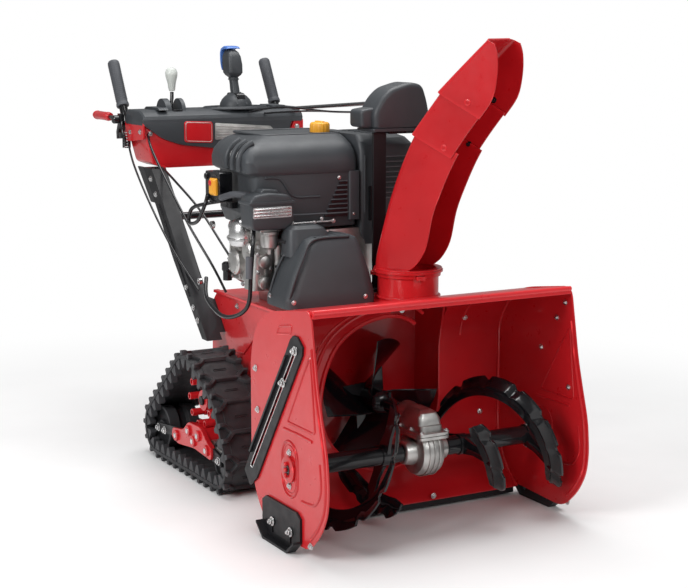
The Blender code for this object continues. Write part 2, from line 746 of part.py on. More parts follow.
def make_upright(name, mirror):
    """Leaning channel with a foot that bolts to the chassis."""
    channel_bar = prism(upright_outline(), "x", UPRIGHT_X, UPRIGHT_X + 0.045)
    channel_bar = minus(channel_bar, prism(upright_outline(0.004), "x", 0.180, UPRIGHT_X + 0.041))
    foot = [(0.140, 0.370), (0.170, 0.370), (0.252, 0.452), (0.208, 0.452)]
    channel_bar = plus(channel_bar, prism(foot, "x", CHASSIS_X + GAP, UPRIGHT_X + 0.006))
    if mirror:
        channel_bar = mirrored(channel_bar)
    node(name, channel_bar, black_steel())


def make_handle():
    """Red console body and its moulded top."""
    front = [(-0.258, 0.924), (-0.228, 0.812), (-0.190, 0.7985), (0.190, 0.7985), (0.228, 0.812),
             (0.258, 0.924)]
    body = prism(front, "y", 0.505, 0.640)
    inner = [(-0.261, 0.950), (-0.225, 0.816), (-0.189, 0.802), (0.189, 0.802), (0.225, 0.816),
             (0.261, 0.950)]
    body = minus(body, prism(inner, "y", 0.509, 0.636))
    node("handle_plate", body, red_paint())
    side = [(0.500, 0.9243), (0.500, 0.950), (0.530, 0.966), (0.630, 0.966), (0.640, 0.9243)]
    dash = prism(side, "x", -0.262, 0.262)
    hollow = prism([(0.505, 0.92), (0.505, 0.948), (0.532, 0.962), (0.627, 0.962), (0.636, 0.92)],
                   "x", -0.258, 0.258)
    stick_hole = rod("z", (STICK_X, STICK_Y), DOME_R + 0.003, 0.93, 1.0, 28)
    slot = box((SPEED_X - 0.010, SPEED_Y - 0.050, 0.93), (SPEED_X + 0.010, SPEED_Y + 0.048, 1.0))
    node("dash_panel", minus(dash, hollow, stick_hole, slot), dark_plastic())


def grip_direction():
    return Vector((0, 0.075, 0.132)).normalized()


def make_grip(name, mirror):
    """Rubber grip on its handle tube, which is bolted behind the console."""
    base = Vector((GRIP_X, 0.676, 0.971))
    along = grip_direction()
    tip = base + along * 0.152
    sleeve = bar([base, base + along * 0.004, tip - along * 0.006, tip], GRIP_R, 18)
    elbow = Vector((GRIP_X, 0.655, 0.934))
    stub = bar([Vector((GRIP_X, 0.6535, 0.850)), Vector((GRIP_X, 0.6535, 0.920)), elbow,
                base + along * 0.02], 0.0125, 14)
    grip = plus(sleeve, stub)
    if mirror:
        grip = mirrored(grip)
    node(name, grip, rubber())


LEVER_PIVOT = (0.285, 0.655, 0.935)
TRIGGER_PIVOT = (0.252, 0.681, 0.925)


def make_hand_lever(name, mirror):
    """Hand lever beside the grip; it swings up to the grip about its pivot."""
    pivot = Vector(LEVER_PIVOT)
    arm = bar([pivot, pivot + Vector((0, 0.050, 0.006))], 0.006, 10)
    handle = bar([pivot + Vector((0, 0.045, 0.006)), pivot + Vector((0, 0.168, 0.006))], 0.013, 14)
    hub = rod("x", (pivot.y, pivot.z), 0.012, pivot.x - 0.0195, pivot.x + 0.008, 16)
    lever = plus(arm, handle, hub)
    x, y, z = LEVER_PIVOT
    if mirror:
        lever = mirrored(lever)
        x = -x
    node(name, lever, red_paint(), (x, y, z))


def make_steering_trigger(name, mirror):
    """Finger trigger under the grip."""
    x, y, z = TRIGGER_PIVOT
    outline = [(y - 0.010, z + 0.004), (y + 0.012, z + 0.012), (y + 0.034, z - 0.030),
               (y + 0.032, z - 0.052), (y + 0.022, z - 0.050), (y + 0.014, z - 0.020),
               (y - 0.004, z - 0.010)]
    trigger = prism(outline, "x", x - 0.009, x + 0.009)
    if mirror:
        trigger = mirrored(trigger)
        x = -x
    node(name, trigger, black_steel(), (x, y, z))


def make_speed_lever():
    """Drive speed lever with its knob."""
    pivot = Vector((SPEED_X, SPEED_Y, SPEED_Z))
    lever = bar([pivot, pivot + Vector((0, 0.002, 0.045)), pivot + Vector((0.006, 0.006, 0.068)),
                 pivot + Vector((0.008, 0.010, 0.085))], 0.0055, 12)
    hub = rod("x", (pivot.y, pivot.z), 0.011, pivot.x - 0.007, pivot.x + 0.007, 16)
    made = node("speed_lever", plus(lever, hub), black_steel(), tuple(pivot))
    profile = [(0, 0.0880), (0.008, 0.0880), (0.010, 0.094), (0.012, 0.110), (0.0175, 0.132),
               (0.0185, 0.142), (0.015, 0.152), (0.008, 0.157), (0, 0.158)]
    knob = lathe(profile, "z", (0, 0), 20)
    lean = Matrix.Translation(pivot + Vector((0.0005, -0.006, 0))) @ Matrix.Rotation(radians(-3), 4, "X")
    knob = moved(knob, Matrix.Translation((0.008, 0.012, 0)) @ lean)
    head = node("speed_knob", knob, material("pale_knob", (0.55, 0.58, 0.55), 0.3), tuple(pivot))
    attach(head, made)


def make_joystick():
    """Chute joystick: a dome that tilts sideways carries a stick that tilts fore and aft."""
    pivot = (STICK_X, STICK_Y, STICK_Z)
    profile = [(0, STICK_Z)]
    for step in range(5):
        angle = radians(18 * step)
        profile.append((DOME_R * cos(angle), STICK_Z + DOME_R * sin(angle)))
    profile.append((0, STICK_Z + DOME_R))
    slot = box((STICK_X - 0.0135, STICK_Y - 0.06, STICK_Z + 0.004), (STICK_X + 0.0135, STICK_Y + 0.06, 1.1))
    dome = minus(lathe(profile, "z", (STICK_X, STICK_Y), 28), slot)
    base = node("joystick_dome", dome, dark_plastic(), pivot)
    sections = []
    for rise, half_x, half_y, back in ((0.022, 0.011, 0.011, 0.0), (0.055, 0.012, 0.014, 0.006),
                                       (0.100, 0.012, 0.014, 0.022), (0.112, 0.015, 0.020, 0.024),
                                       (0.160, 0.016, 0.021, 0.034), (0.176, 0.012, 0.016, 0.038)):
        y = STICK_Y + back
        ring = [(STICK_X - half_x, y - half_y), (STICK_X + half_x, y - half_y),
                (STICK_X + half_x, y + half_y), (STICK_X - half_x, y + half_y)]
        sections.append([(a, b, STICK_Z + rise) for a, b in rounded(ring, 0.008)])
    stick = node("joystick", loft(sections), dark_plastic(), pivot)
    trigger_line = [(0.0475, 0.116), (0.056, 0.118), (0.062, 0.160), (0.056, 0.182), (0.020, 0.186),
                    (0.018, 0.1785), (0.0565, 0.1785), (0.0565, 0.160)]
    outline = [(STICK_Y + back, STICK_Z + rise) for back, rise in trigger_line]
    cap = prism(outline, "x", STICK_X - 0.014, STICK_X + 0.014)
    hinge = (STICK_X, STICK_Y + 0.020, STICK_Z + 0.186)
    trigger = node("joystick_trigger", cap, material("blue_plastic", (0.08, 0.2, 0.55), 0.4), hinge)
    attach(trigger, stick)
    attach(stick, base)


# ---------------------------------------------------------------- engine
ENGINE_FRONT = -0.245
RIM_Z = 0.843                # underside of the shroud's overhang


def make_engine():
    """Crankcase, cylinder and carburettor side as one casting on the deck."""
    low = DECK_Z + GAP
    case = box((-0.185, ENGINE_FRONT, low), (0.090, 0.020, 0.690))
    case = minus(case, box((-0.30, -0.30, 0.47), (-0.140, 0.10, 0.505)))
    cylinder = box((-0.160, -0.200, 0.680), (0.030, 0.000, 0.760))
    recoil = rod("y", (CRANK_X, CRANK_Z), 0.095, 0.010, 0.080, 28)
    engine = plus(case, cylinder, recoil)
    boss = rod("y", (CRANK_X, CRANK_Z), 0.052, ENGINE_FRONT - 0.010, ENGINE_FRONT + 0.010, 24)
    engine = plus(engine, boss)
    engine = minus(engine, rod("y", (CRANK_X, CRANK_Z), 0.0133, -0.30, -0.235, 20))
    node("engine_block", engine, cast_aluminium())


def shroud_skin(inset):
    """Outside of the engine's moulded cover, or its hollow when it is set in."""
    front, back, left = ENGINE_FRONT + inset, 0.060 - inset, 0.040 - inset
    panel = rounded([(-0.262 + inset, front), (left, front), (left, back), (-0.225 + inset, back)], 0.030)
    rim = rounded([(-0.288 + inset, front), (left, front), (left, back), (-0.250 + inset, back)], 0.030)
    crown = rounded([(-0.262 + inset, -0.200 + inset), (0.036 - inset, -0.200 + inset),
                     (0.036 - inset, 0.040 - inset), (-0.225 + inset, 0.040 - inset)], 0.050)
    shoulder = []
    for edge, top in zip(rim, crown):
        shoulder.append((edge[0] * 0.75 + top[0] * 0.25, edge[1] * 0.75 + top[1] * 0.25))
    ledge = RIM_Z + inset
    lower = loft([[(x, y, 0.700 - 3 * inset) for x, y in panel], [(x, y, ledge + 0.010) for x, y in panel]])
    levels = ((rim, ledge), (rim, 0.875), (shoulder, 0.915 - inset), (crown, 0.934 - inset))
    upper = loft([[(x, y, z) for x, y in outline] for outline, z in levels])
    return plus(lower, upper)


def make_shroud():
    """Moulded upper cover of the engine, a shell open below, with the fuel cap on top."""
    shroud = minus(shroud_skin(0.0), shroud_skin(0.004))
    switch_room = box((-0.30, -0.20, 0.60), (-0.20, 0.03, 0.7603))
    node("engine_shroud", minus(shroud, switch_room), dark_plastic())
    profile = [(0, 0.9345), (0.024, 0.9345), (0.026, 0.938), (0.026, 0.950), (0.022, 0.955), (0, 0.955)]
    cap = lathe(profile, "z", (-0.010, -0.120), 24)
    rib = box((-0.0145, -0.142, 0.950), (-0.0055, -0.098, 0.961))
    node("fuel_cap", plus(cap, rib), material("yellow_plastic", (0.85, 0.4, 0.02), 0.4),
         (-0.010, -0.120, 0.9345))


def make_muffler_cover():
    """Guard over the exhaust on the operator's-left side, a shell open towards the engine."""
    outline = [(ENGINE_FRONT, 0.650), (ENGINE_FRONT, 0.900), (-0.225, 0.930), (0.010, 0.930),
               (0.040, 0.900), (0.040, 0.650)]
    inner = [(ENGINE_FRONT + 0.004, 0.654), (ENGINE_FRONT + 0.004, 0.898), (-0.223, 0.926),
             (0.008, 0.926), (0.036, 0.898), (0.036, 0.654)]
    inlet = [(y, z) for y, z in outline if z > 0.7] + [(0.040, 0.71), (ENGINE_FRONT, 0.71)]
    cover = plus(prism(outline, "x", 0.0945, 0.215), prism(inlet, "x", 0.0405, 0.100))
    hollow = prism(inner, "x", 0.030, 0.211)
    cover = minus(cover, hollow)
    for k in range(5):
        z = 0.790 + 0.018 * k
        cover = minus(cover, box((0.120, -0.30, z), (0.190, -0.20, z + 0.008)))
    node("muffler_cover", cover, dark_plastic())


def make_engine_controls():
    """Switch box on the right side and the recoil starter's handle at the back."""
    body = box((-0.300, -0.120, 0.7620), (-0.2645, -0.030, 0.8400))
    bracket = box((-0.300, -0.110, 0.7450), (-0.1605, -0.040, 0.7600))
    join = box((-0.300, -0.110, 0.7550), (-0.2645, -0.040, 0.7700))
    node("switch_box", plus(body, bracket, join), black_steel())
    rocker = prism([(-0.108, 0.784), (-0.108, 0.820), (-0.096, 0.824), (-0.072, 0.824), (-0.072, 0.780),
                    (-0.096, 0.780)], "x", -0.3120, -0.3003)
    node("engine_switch", rocker, material("yellow_plastic", (0.85, 0.4, 0.02), 0.4),
         (-0.3003, -0.090, 0.802))
    handle = bar([(CRANK_X - 0.035, 0.0900, 0.640), (CRANK_X + 0.035, 0.0900, 0.640)], 0.008, 12)
    stem = rod("y", (CRANK_X, 0.640), 0.004, 0.0805, 0.088, 10)
    node("recoil_handle", plus(handle, stem), rubber(), (CRANK_X, 0.0803, 0.640))


# ---------------------------------------------------------------- tracks
FRONT_IDLER = (-0.138, 0.086)
REAR_IDLER = (0.272, 0.086)
IDLER_R = 0.060


def hull_path(circles, grow):
    """Tight belt line around circles, anticlockwise in (y, z), as dense points."""
    points = []
    count = len(circles)
    ends = []
    for i in range(count):
        ay, az, ar = circles[i]
        by, bz, br = circles[(i + 1) % count]
        gap = hypot(by - ay, bz - az)
        heading = atan2(bz - az, by - ay)
        tilt = (ar - br) / gap
        angle = heading - atan2(sqrt(1 - tilt * tilt), tilt)
        ends.append(angle)
    for i in range(count):
        y, z, radius = circles[i]
        start = ends[i - 1]
        stop = ends[i]
        while stop < start:
            stop += 2 * pi
        steps = max(4, int((stop - start) / 0.16))
        for k in range(steps + 1):
            angle = start + (stop - start) * k / steps
            points.append((y + (radius + grow) * cos(angle), z + (radius + grow) * sin(angle)))
    return points


def track_circles():
    """Drive sprocket at the top and an idler at each end of the flat run."""
    return [(FRONT_IDLER[0], FRONT_IDLER[1], 0.0615), (REAR_IDLER[0], REAR_IDLER[1], 0.0615),
            (SPROCKET_Y + 0.045, 0.236, 0.088), (-0.085, 0.190, 0.060)]


def resampled(path, count):
    """Equally spaced points round a closed path."""
    loop = path + [path[0]]
    lengths = [hypot(b[0] - a[0], b[1] - a[1]) for a, b in zip(loop, loop[1:])]
    total = sum(lengths)
    result = []
    index, passed = 0, 0.0
    for k in range(count):
        target = total * k / count
        while passed + lengths[index] < target:
            passed += lengths[index]
            index += 1
        t = (target - passed) / lengths[index]
        a, b = loop[index], loop[index + 1]
        result.append((a[0] + (b[0] - a[0]) * t, a[1] + (b[1] - a[1]) * t))
    return result


def make_track(name, mirror):
    """Rubber track: an endless belt with bars across its outside."""
    pitches = 34
    base = resampled(hull_path(track_circles(), 0.010), pitches * 4)
    outline = []
    count = len(base)
    for i, (y, z) in enumerate(base):
        a, b = base[i - 1], base[(i + 1) % count]
        along = Vector((b[0] - a[0], b[1] - a[1])).normalized()
        out = Vector((along.y, -along.x))
        height = LUG if i % 4 in (0, 1) else 0.0
        outline.append(tuple(Vector((y, z)) + out * height))
    belt = prism(outline, "x", TRACK_IN, TRACK_OUT)
    inner = resampled(hull_path(track_circles(), 0.0005), 60)
    belt = minus(belt, prism(inner, "x", TRACK_IN - 0.05, TRACK_OUT + 0.05))
    if mirror:
        belt = mirrored(belt)
    node(name, belt, rubber())


def make_sprocket(name, mirror):
    """Drive sprocket: a spoked disc whose pegs reach across under the track."""
    centre = (SPROCKET_Y, SPROCKET_Z)
    disc = tube("x", centre, 0.066, 0.0127, 0.255, 0.267, 32)
    hub = tube("x", centre, 0.028, 0.0127, 0.215, 0.300, 20)
    sprocket = plus(disc, hub)
    for k in range(9):
        angle = 2 * pi * k / 9
        y = SPROCKET_Y + 0.066 * cos(angle)
        z = SPROCKET_Z + 0.066 * sin(angle)
        sprocket = plus(sprocket, rod("x", (y, z), 0.0095, 0.212, 0.310, 10))
    sign = 1
    if mirror:
        sprocket = mirrored(sprocket)
        sign = -1
    node(name, sprocket, red_paint(), (sign * 0.26, SPROCKET_Y, SPROCKET_Z))


def make_idler(name, centre, mirror):
    """Grooved idler wheel."""
    profile = [(0.0083, 0.215), (0.020, 0.215), (0.020, 0.226), (0.052, 0.226), (0.052, 0.220),
               (IDLER_R, 0.220), (IDLER_R, 0.250), (0.050, 0.255), (0.050, 0.275), (IDLER_R, 0.280),
               (IDLER_R, 0.310), (0.052, 0.310), (0.052, 0.302), (0.020, 0.302), (0.020, 0.312),
               (0.0083, 0.312)]
    wheel = lathe(profile, "x", centre, 28)
    sign = 1
    if mirror:
        wheel = mirrored(wheel)
        sign = -1
    node(name, wheel, rubber(), (sign * 0.26, centre[0], centre[1]))


def make_track_frame(name, mirror):
    """Side beam with the idler axles and the drive axle; the right one's axle runs right across."""
    beam = prism([(-0.150, 0.070), (0.285, 0.070), (0.292, 0.098), (0.060, 0.112), (-0.150, 0.100)],
                 "x", 0.200, 0.208)
    post = prism([(-0.030, 0.090), (0.055, 0.090), (0.035, 0.235), (-0.015, 0.235)], "x", 0.200, 0.208)
    frame = plus(beam, post)
    for y, z in (FRONT_IDLER, REAR_IDLER):
        frame = plus(frame, rod("x", (y, z), 0.008, 0.204, 0.322, 14))
    frame = plus(frame, rod("x", (SPROCKET_Y, SPROCKET_Z), 0.0122, 0.204, 0.306, 20))
    reach = -0.150 if mirror else 0.1503
    frame = plus(frame, rod("x", (SPROCKET_Y, SPROCKET_Z), 0.0120, reach, 0.204, 20))
    arm = prism([(-0.152, 0.072), (-0.124, 0.072), (0.020, 0.098), (0.262, 0.076), (0.284, 0.076),
                 (0.284, 0.098), (0.030, 0.128), (-0.010, 0.128), (-0.152, 0.100)], "x", 0.3145, 0.3215)
    frame = plus(frame, arm)
    if mirror:
        frame = mirrored(frame)
    node(name, frame, black_steel(), ((-1 if mirror else 1) * 0.204, SPROCKET_Y, SPROCKET_Z))


# ---------------------------------------------------------------- assembly
def clear_scene():
    for thing in list(bpy.data.objects):
        bpy.data.objects.remove(thing)


def build():
    clear_scene()
    make_housing()
    make_drum()
    make_neck()
    make_scraper()
    make_auger_shaft()
    make_gearcase()
    make_impeller()
    make_belt_drive()
    make_belt_cover()
    make_chute()
    make_chute_control()
    make_chassis()
    make_handle()
    make_speed_lever()
    make_joystick()
    make_engine()
    make_shroud()
    make_muffler_cover()
    make_engine_controls()
    for side, mirror in (("right", True), ("left", False)):
        make_side_plate("side_plate_" + side, mirror)
        make_bearing("auger_bearing_" + side, mirror)
        make_drift_cutter("drift_cutter_" + side, mirror)
        make_skid("skid_shoe_" + side, mirror)
        make_upright("handle_upright_" + side, mirror)
        make_grip("grip_" + side, mirror)
        make_hand_lever("hand_lever_" + side, mirror)
        make_steering_trigger("steering_trigger_" + side, mirror)
        make_track("track_" + side, mirror)
        make_sprocket("sprocket_" + side, mirror)
        make_idler("front_idler_" + side, FRONT_IDLER, mirror)
        make_idler("rear_idler_" + side, REAR_IDLER, mirror)
        make_track_frame("track_frame_" + side, mirror)
    make_auger("auger_right", RIGHT_PHASE, True)
    make_auger("auger_left", LEFT_PHASE, False)


build()
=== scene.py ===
"""Looks of the tracked two-stage snowblower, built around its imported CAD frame.

Metres, +Z up; the auger opening faces -Y and +X is the operator's left.
"""
import json
from math import atan2, cos, hypot, pi, radians, sin, sqrt

import bmesh
import bpy
from mathutils import Matrix, Vector

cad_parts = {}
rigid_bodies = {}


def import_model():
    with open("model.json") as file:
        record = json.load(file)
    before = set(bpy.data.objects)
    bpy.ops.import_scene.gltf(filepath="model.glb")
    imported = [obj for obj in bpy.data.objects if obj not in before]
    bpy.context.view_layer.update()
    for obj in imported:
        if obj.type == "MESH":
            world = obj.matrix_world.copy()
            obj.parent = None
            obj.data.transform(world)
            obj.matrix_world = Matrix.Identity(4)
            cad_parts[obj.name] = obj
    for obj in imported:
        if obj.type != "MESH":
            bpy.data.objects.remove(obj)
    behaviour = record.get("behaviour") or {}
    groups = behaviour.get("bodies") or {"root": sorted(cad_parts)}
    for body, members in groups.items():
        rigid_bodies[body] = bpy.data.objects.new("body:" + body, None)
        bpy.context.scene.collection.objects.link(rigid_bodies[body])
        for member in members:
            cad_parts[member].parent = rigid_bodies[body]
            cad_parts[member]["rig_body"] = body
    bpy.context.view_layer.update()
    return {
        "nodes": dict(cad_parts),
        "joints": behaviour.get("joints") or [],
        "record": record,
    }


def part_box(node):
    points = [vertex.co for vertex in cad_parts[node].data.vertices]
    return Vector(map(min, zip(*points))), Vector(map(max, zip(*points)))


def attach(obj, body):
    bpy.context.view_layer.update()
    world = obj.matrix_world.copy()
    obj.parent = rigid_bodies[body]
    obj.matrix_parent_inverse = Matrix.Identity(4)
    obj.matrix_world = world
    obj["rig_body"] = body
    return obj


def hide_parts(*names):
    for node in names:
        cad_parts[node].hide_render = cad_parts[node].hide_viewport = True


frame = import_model()
JOINTS = {joint["name"]: joint for joint in frame["joints"]}


# ---------------------------------------------------------------- materials
def new_material(name):
    """A material with its node tree, its Principled shader and a vector in object metres."""
    made = bpy.data.materials.new(name)
    made.use_nodes = True
    tree = made.node_tree
    shader = tree.nodes["Principled BSDF"]
    place = tree.nodes.new("ShaderNodeNewGeometry").outputs["Position"]
    return made, tree, shader, place


def noise(tree, place, scale, detail=3.0, rough=0.5, stretch=None):
    """Noise texture value; stretch scales the coordinates per axis first."""
    if stretch:
        mapping = tree.nodes.new("ShaderNodeMapping")
        mapping.inputs["Scale"].default_value = stretch
        tree.links.new(place, mapping.inputs["Vector"])
        place = mapping.outputs["Vector"]
    texture = tree.nodes.new("ShaderNodeTexNoise")
    texture.inputs["Scale"].default_value = scale
    texture.inputs["Detail"].default_value = detail
    texture.inputs["Roughness"].default_value = rough
    tree.links.new(place, texture.inputs["Vector"])
    return texture.outputs["Fac"]


def ramp(tree, value, *stops):
    """Colour ramp: stops are (position, colour) with grey given as one number."""
    made = tree.nodes.new("ShaderNodeValToRGB")
    elements = made.color_ramp.elements
    while len(elements) < len(stops):
        elements.new(0.5)
    for element, (position, colour) in zip(elements, stops):
        if not isinstance(colour, tuple):
            colour = (colour, colour, colour)
        element.position = position
        element.color = (*colour, 1)
    tree.links.new(value, made.inputs["Fac"])
    return made.outputs["Color"]


def bump(tree, shader, height, strength, distance):
    """Add a bump under any bump the shader already has."""
    made = tree.nodes.new("ShaderNodeBump")
    made.inputs["Strength"].default_value = strength
    made.inputs["Distance"].default_value = distance
    tree.links.new(height, made.inputs["Height"])
    old = shader.inputs["Normal"].links
    if old:
        tree.links.new(old[0].from_socket, made.inputs["Normal"])
    tree.links.new(made.outputs["Normal"], shader.inputs["Normal"])


def edge_mask(tree, low, high):
    """1 on worn convex edges, 0 elsewhere."""
    geometry = tree.nodes.new("ShaderNodeNewGeometry")
    return ramp(tree, geometry.outputs["Pointiness"], (low, 0.0), (high, 1.0))


def mixed(tree, mask, first, second):
    """Colour mix: first where the mask is 0, second where it is 1."""
    node = tree.nodes.new("ShaderNodeMix")
    node.data_type = "RGBA"
    tree.links.new(mask, node.inputs["Factor"])
    for socket, colour in ((node.inputs["A"], first), (node.inputs["B"], second)):
        if isinstance(colour, tuple):
            socket.default_value = (*colour, 1)
        else:
            tree.links.new(colour, socket)
    return node.outputs["Result"]


def paint_material(name, deep, light, roughness, coat):
    """Powder coat: slight tone drift, orange peel, a clear gloss and soft edge wear."""
    made, tree, shader, place = new_material(name)
    tone = ramp(tree, noise(tree, place, 6.0, 4.0), (0.35, deep), (0.65, light))
    worn = tuple(min(1.0, c * 1.5 + 0.02) for c in light)
    colour = mixed(tree, edge_mask(tree, 0.53, 0.62), tone, worn)
    tree.links.new(colour, shader.inputs["Base Color"])
    dust = noise(tree, place, 35.0, 6.0, 0.65)
    gloss = ramp(tree, dust, (0.3, roughness * 0.8), (0.75, roughness * 1.35))
    tree.links.new(gloss, shader.inputs["Roughness"])
    shader.inputs["Specular IOR Level"].default_value = 0.3
    shader.inputs["Coat Weight"].default_value = coat
    shader.inputs["Coat Roughness"].default_value = 0.06
    bump(tree, shader, noise(tree, place, 420.0, 2.0), 0.10, 0.0004)
    return made


def plastic_material(name, dark, light, roughness, grain=900.0, depth=0.25):
    """Moulded plastic with a fine pebbled grain."""
    made, tree, shader, place = new_material(name)
    tone = ramp(tree, noise(tree, place, 9.0, 5.0), (0.3, dark), (0.7, light))
    rubbed = tuple(c * 1.8 + 0.01 for c in light)
    tree.links.new(mixed(tree, edge_mask(tree, 0.53, 0.64), tone, rubbed), shader.inputs["Base Color"])
    cells = tree.nodes.new("ShaderNodeTexVoronoi")
    cells.inputs["Scale"].default_value = grain
    tree.links.new(place, cells.inputs["Vector"])
    bump(tree, shader, cells.outputs["Distance"], depth, 0.0004)
    smear = noise(tree, place, 22.0, 5.0, 0.7)
    tree.links.new(ramp(tree, smear, (0.3, roughness - 0.07), (0.7, roughness + 0.08)),
                   shader.inputs["Roughness"])
    return made


def rubber_material(name, dark, light, roughness):
    """Moulded rubber with a dusty bloom and rubbed edges."""
    made, tree, shader, place = new_material(name)
    bloom = ramp(tree, noise(tree, place, 28.0, 7.0, 0.7), (0.42, dark), (0.75, light))
    rubbed = tuple(c * 2.4 + 0.02 for c in light)
    tree.links.new(mixed(tree, edge_mask(tree, 0.52, 0.63), bloom, rubbed), shader.inputs["Base Color"])
    shader.inputs["Specular IOR Level"].default_value = 0.35
    tree.links.new(ramp(tree, noise(tree, place, 60.0, 4.0), (0.3, roughness - 0.12),
                        (0.7, roughness + 0.1)), shader.inputs["Roughness"])
    bump(tree, shader, noise(tree, place, 700.0, 4.0), 0.35, 0.0005)
    return made


def metal_material(name, dark, light, roughness, coarse, depth, stretch=None):
    """Bare metal: cast skin when coarse, drawn or plated when stretched."""
    made, tree, shader, place = new_material(name)
    skin = noise(tree, place, coarse, 6.0, 0.6, stretch)
    tree.links.new(ramp(tree, noise(tree, place, 30.0, 5.0), (0.3, dark), (0.7, light)),
                   shader.inputs["Base Color"])
    tree.links.new(ramp(tree, skin, (0.3, roughness - 0.08), (0.7, roughness + 0.12)),
                   shader.inputs["Roughness"])
    shader.inputs["Metallic"].default_value = 1.0
    bump(tree, shader, skin, depth, 0.0006)
    return made


RED = paint_material("red_powder_coat", (0.47, 0.006, 0.010), (0.55, 0.010, 0.015), 0.32, 0.45)
BLACK = paint_material("black_gloss_paint", (0.003, 0.003, 0.004), (0.007, 0.007, 0.009), 0.20, 0.35)
FRAME_BLACK = paint_material("black_satin_paint", (0.004, 0.004, 0.005), (0.010, 0.010, 0.012), 0.42, 0.1)
FRAME_BLACK.node_tree.nodes["Principled BSDF"].inputs["Specular IOR Level"].default_value = 0.2
PLASTIC = plastic_material("dark_grey_plastic", (0.030, 0.034, 0.039), (0.042, 0.047, 0.053), 0.46)
GRIP = plastic_material("grip_rubber", (0.045, 0.048, 0.056), (0.062, 0.066, 0.075), 0.62, 420.0, 0.5)
RUBBER = rubber_material("track_rubber", (0.012, 0.012, 0.014), (0.035, 0.035, 0.038), 0.55)
CAST = metal_material("cast_aluminium", (0.42, 0.41, 0.40), (0.62, 0.61, 0.59), 0.38, 260.0, 0.5)
STEEL = metal_material("zinc_plated_steel", (0.55, 0.55, 0.56), (0.75, 0.75, 0.74), 0.24, 90.0, 0.15,
                       (1.0, 14.0, 14.0))
PALE = plastic_material("pale_knob_plastic", (0.50, 0.53, 0.50), (0.60, 0.62, 0.59), 0.28, 300.0, 0.03)
BLUE = plastic_material("blue_plastic", (0.05, 0.14, 0.46), (0.08, 0.20, 0.56), 0.35, 700.0, 0.08)
YELLOW = plastic_material("amber_plastic", (0.80, 0.34, 0.02), (0.90, 0.45, 0.04), 0.38, 700.0, 0.08)
SLOT_MATERIAL = {"red_paint": RED, "black_paint": BLACK, "dark_plastic": PLASTIC, "rubber": RUBBER,
                 "cast_aluminium": CAST, "bright_steel": STEEL, "pale_plastic": PALE, "blue_plastic": BLUE,
                 "yellow_plastic": YELLOW}
SLOT_OF = {finish.name: slot for slot, finish in SLOT_MATERIAL.items()}
SLOT_OF.update({GRIP.name: "rubber", FRAME_BLACK.name: "black_paint"})
NODE_SLOT = {entry["node"]: entry["material_slot"] for entry in frame["record"]["subparts"]}


# ---------------------------------------------------------------- finishing CAD pieces
def finished(piece, bevel, angle=32):
    """Smooth shading between soft creases, with a small bevel on every sharp edge."""
    piece.data.shade_smooth()
    piece.data.set_sharp_from_angle(angle=radians(angle))
    if bevel:
        edge = piece.modifiers.new("edges", "BEVEL")
        edge.width = bevel
        edge.segments = 2
        edge.limit_method = "ANGLE"
        edge.angle_limit = radians(angle)
        edge.harden_normals = True
    return piece


def refined(node, bevel=0.001, material=None):
    """A piece with the CAD node's shape, joined into clean faces, that stands for it."""
    source = frame["nodes"][node]
    mesh = bmesh.new()
    mesh.from_mesh(source.data)
    bmesh.ops.remove_doubles(mesh, verts=mesh.verts, dist=2e-6)
    bmesh.ops.dissolve_limit(mesh, angle_limit=radians(0.4), verts=mesh.verts, edges=mesh.edges)
    data = bpy.data.meshes.new(node + "_skin")
    mesh.to_mesh(data)
    mesh.free()
    piece = bpy.data.objects.new(node + "_skin", data)
    bpy.context.scene.collection.objects.link(piece)
    slot = NODE_SLOT[node]
    data.materials.append(material or SLOT_MATERIAL[slot])
    finished(piece, bevel)
    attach(piece, source["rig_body"])
    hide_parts(node)
    return piece


# ---------------------------------------------------------------- shapes: (vertices, faces) pairs
def arc(centre, radius, start, end, steps):
    """Points on a circular arc, angles in degrees."""
    points = []
    for i in range(steps + 1):
        angle = radians(start + (end - start) * i / steps)
        points.append((centre[0] + radius * cos(angle), centre[1] + radius * sin(angle)))
    return points


def rounded(corners, radius, steps=5):
    """A polygon with each corner replaced by a small curve."""
    result = []
    for i, corner in enumerate(corners):
        here = Vector(corner)
        before = Vector(corners[i - 1]) - here
        after = Vector(corners[(i + 1) % len(corners)]) - here
        reach = min(radius, 0.45 * before.length, 0.45 * after.length)
        first = here + before.normalized() * reach
        last = here + after.normalized() * reach
        for k in range(steps + 1):
            t = k / steps
            point = first * (1 - t) ** 2 + here * 2 * t * (1 - t) + last * t ** 2
            result.append((point.x, point.y))
    return result


def circle(centre, radius, count, shift=0.0, depth=0.0, waves=0):
    """Points round a circle, the first one shifted by a share of a step; waves scallop it to a depth."""
    points = []
    for i in range(count):
        turn = 2 * pi * (i + shift) / count
        reach = radius + depth * cos(waves * turn)
        points.append((centre[0] + reach * cos(turn), centre[1] + reach * sin(turn)))
    return points


def placed(axis, a, b, level):
    """A point from its two section coordinates and its level along the axis."""
    return {"x": (level, a, b), "y": (a, level, b), "z": (a, b, level)}[axis]


def loft(sections, closed=False):
    """Solid through rings with the same number of points, capped at its ends or closed on itself."""
    count, rows = len(sections[0]), len(sections)
    verts = [tuple(point) for section in sections for point in section]
    faces = []
    if not closed:
        faces = [tuple(range(count))[::-1], tuple(range(len(verts) - count, len(verts)))]
    for row in range(rows if closed else rows - 1):
        base, other = row * count, (row + 1) % rows * count
        for i in range(count):
            k = (i + 1) % count
            faces.append((base + i, base + k, other + k, other + i))
    return verts, faces


def prism(outline, axis, low, high):
    """Straight solid with one outline between two levels."""
    return loft([[placed(axis, a, b, level) for a, b in outline] for level in (low, high)])


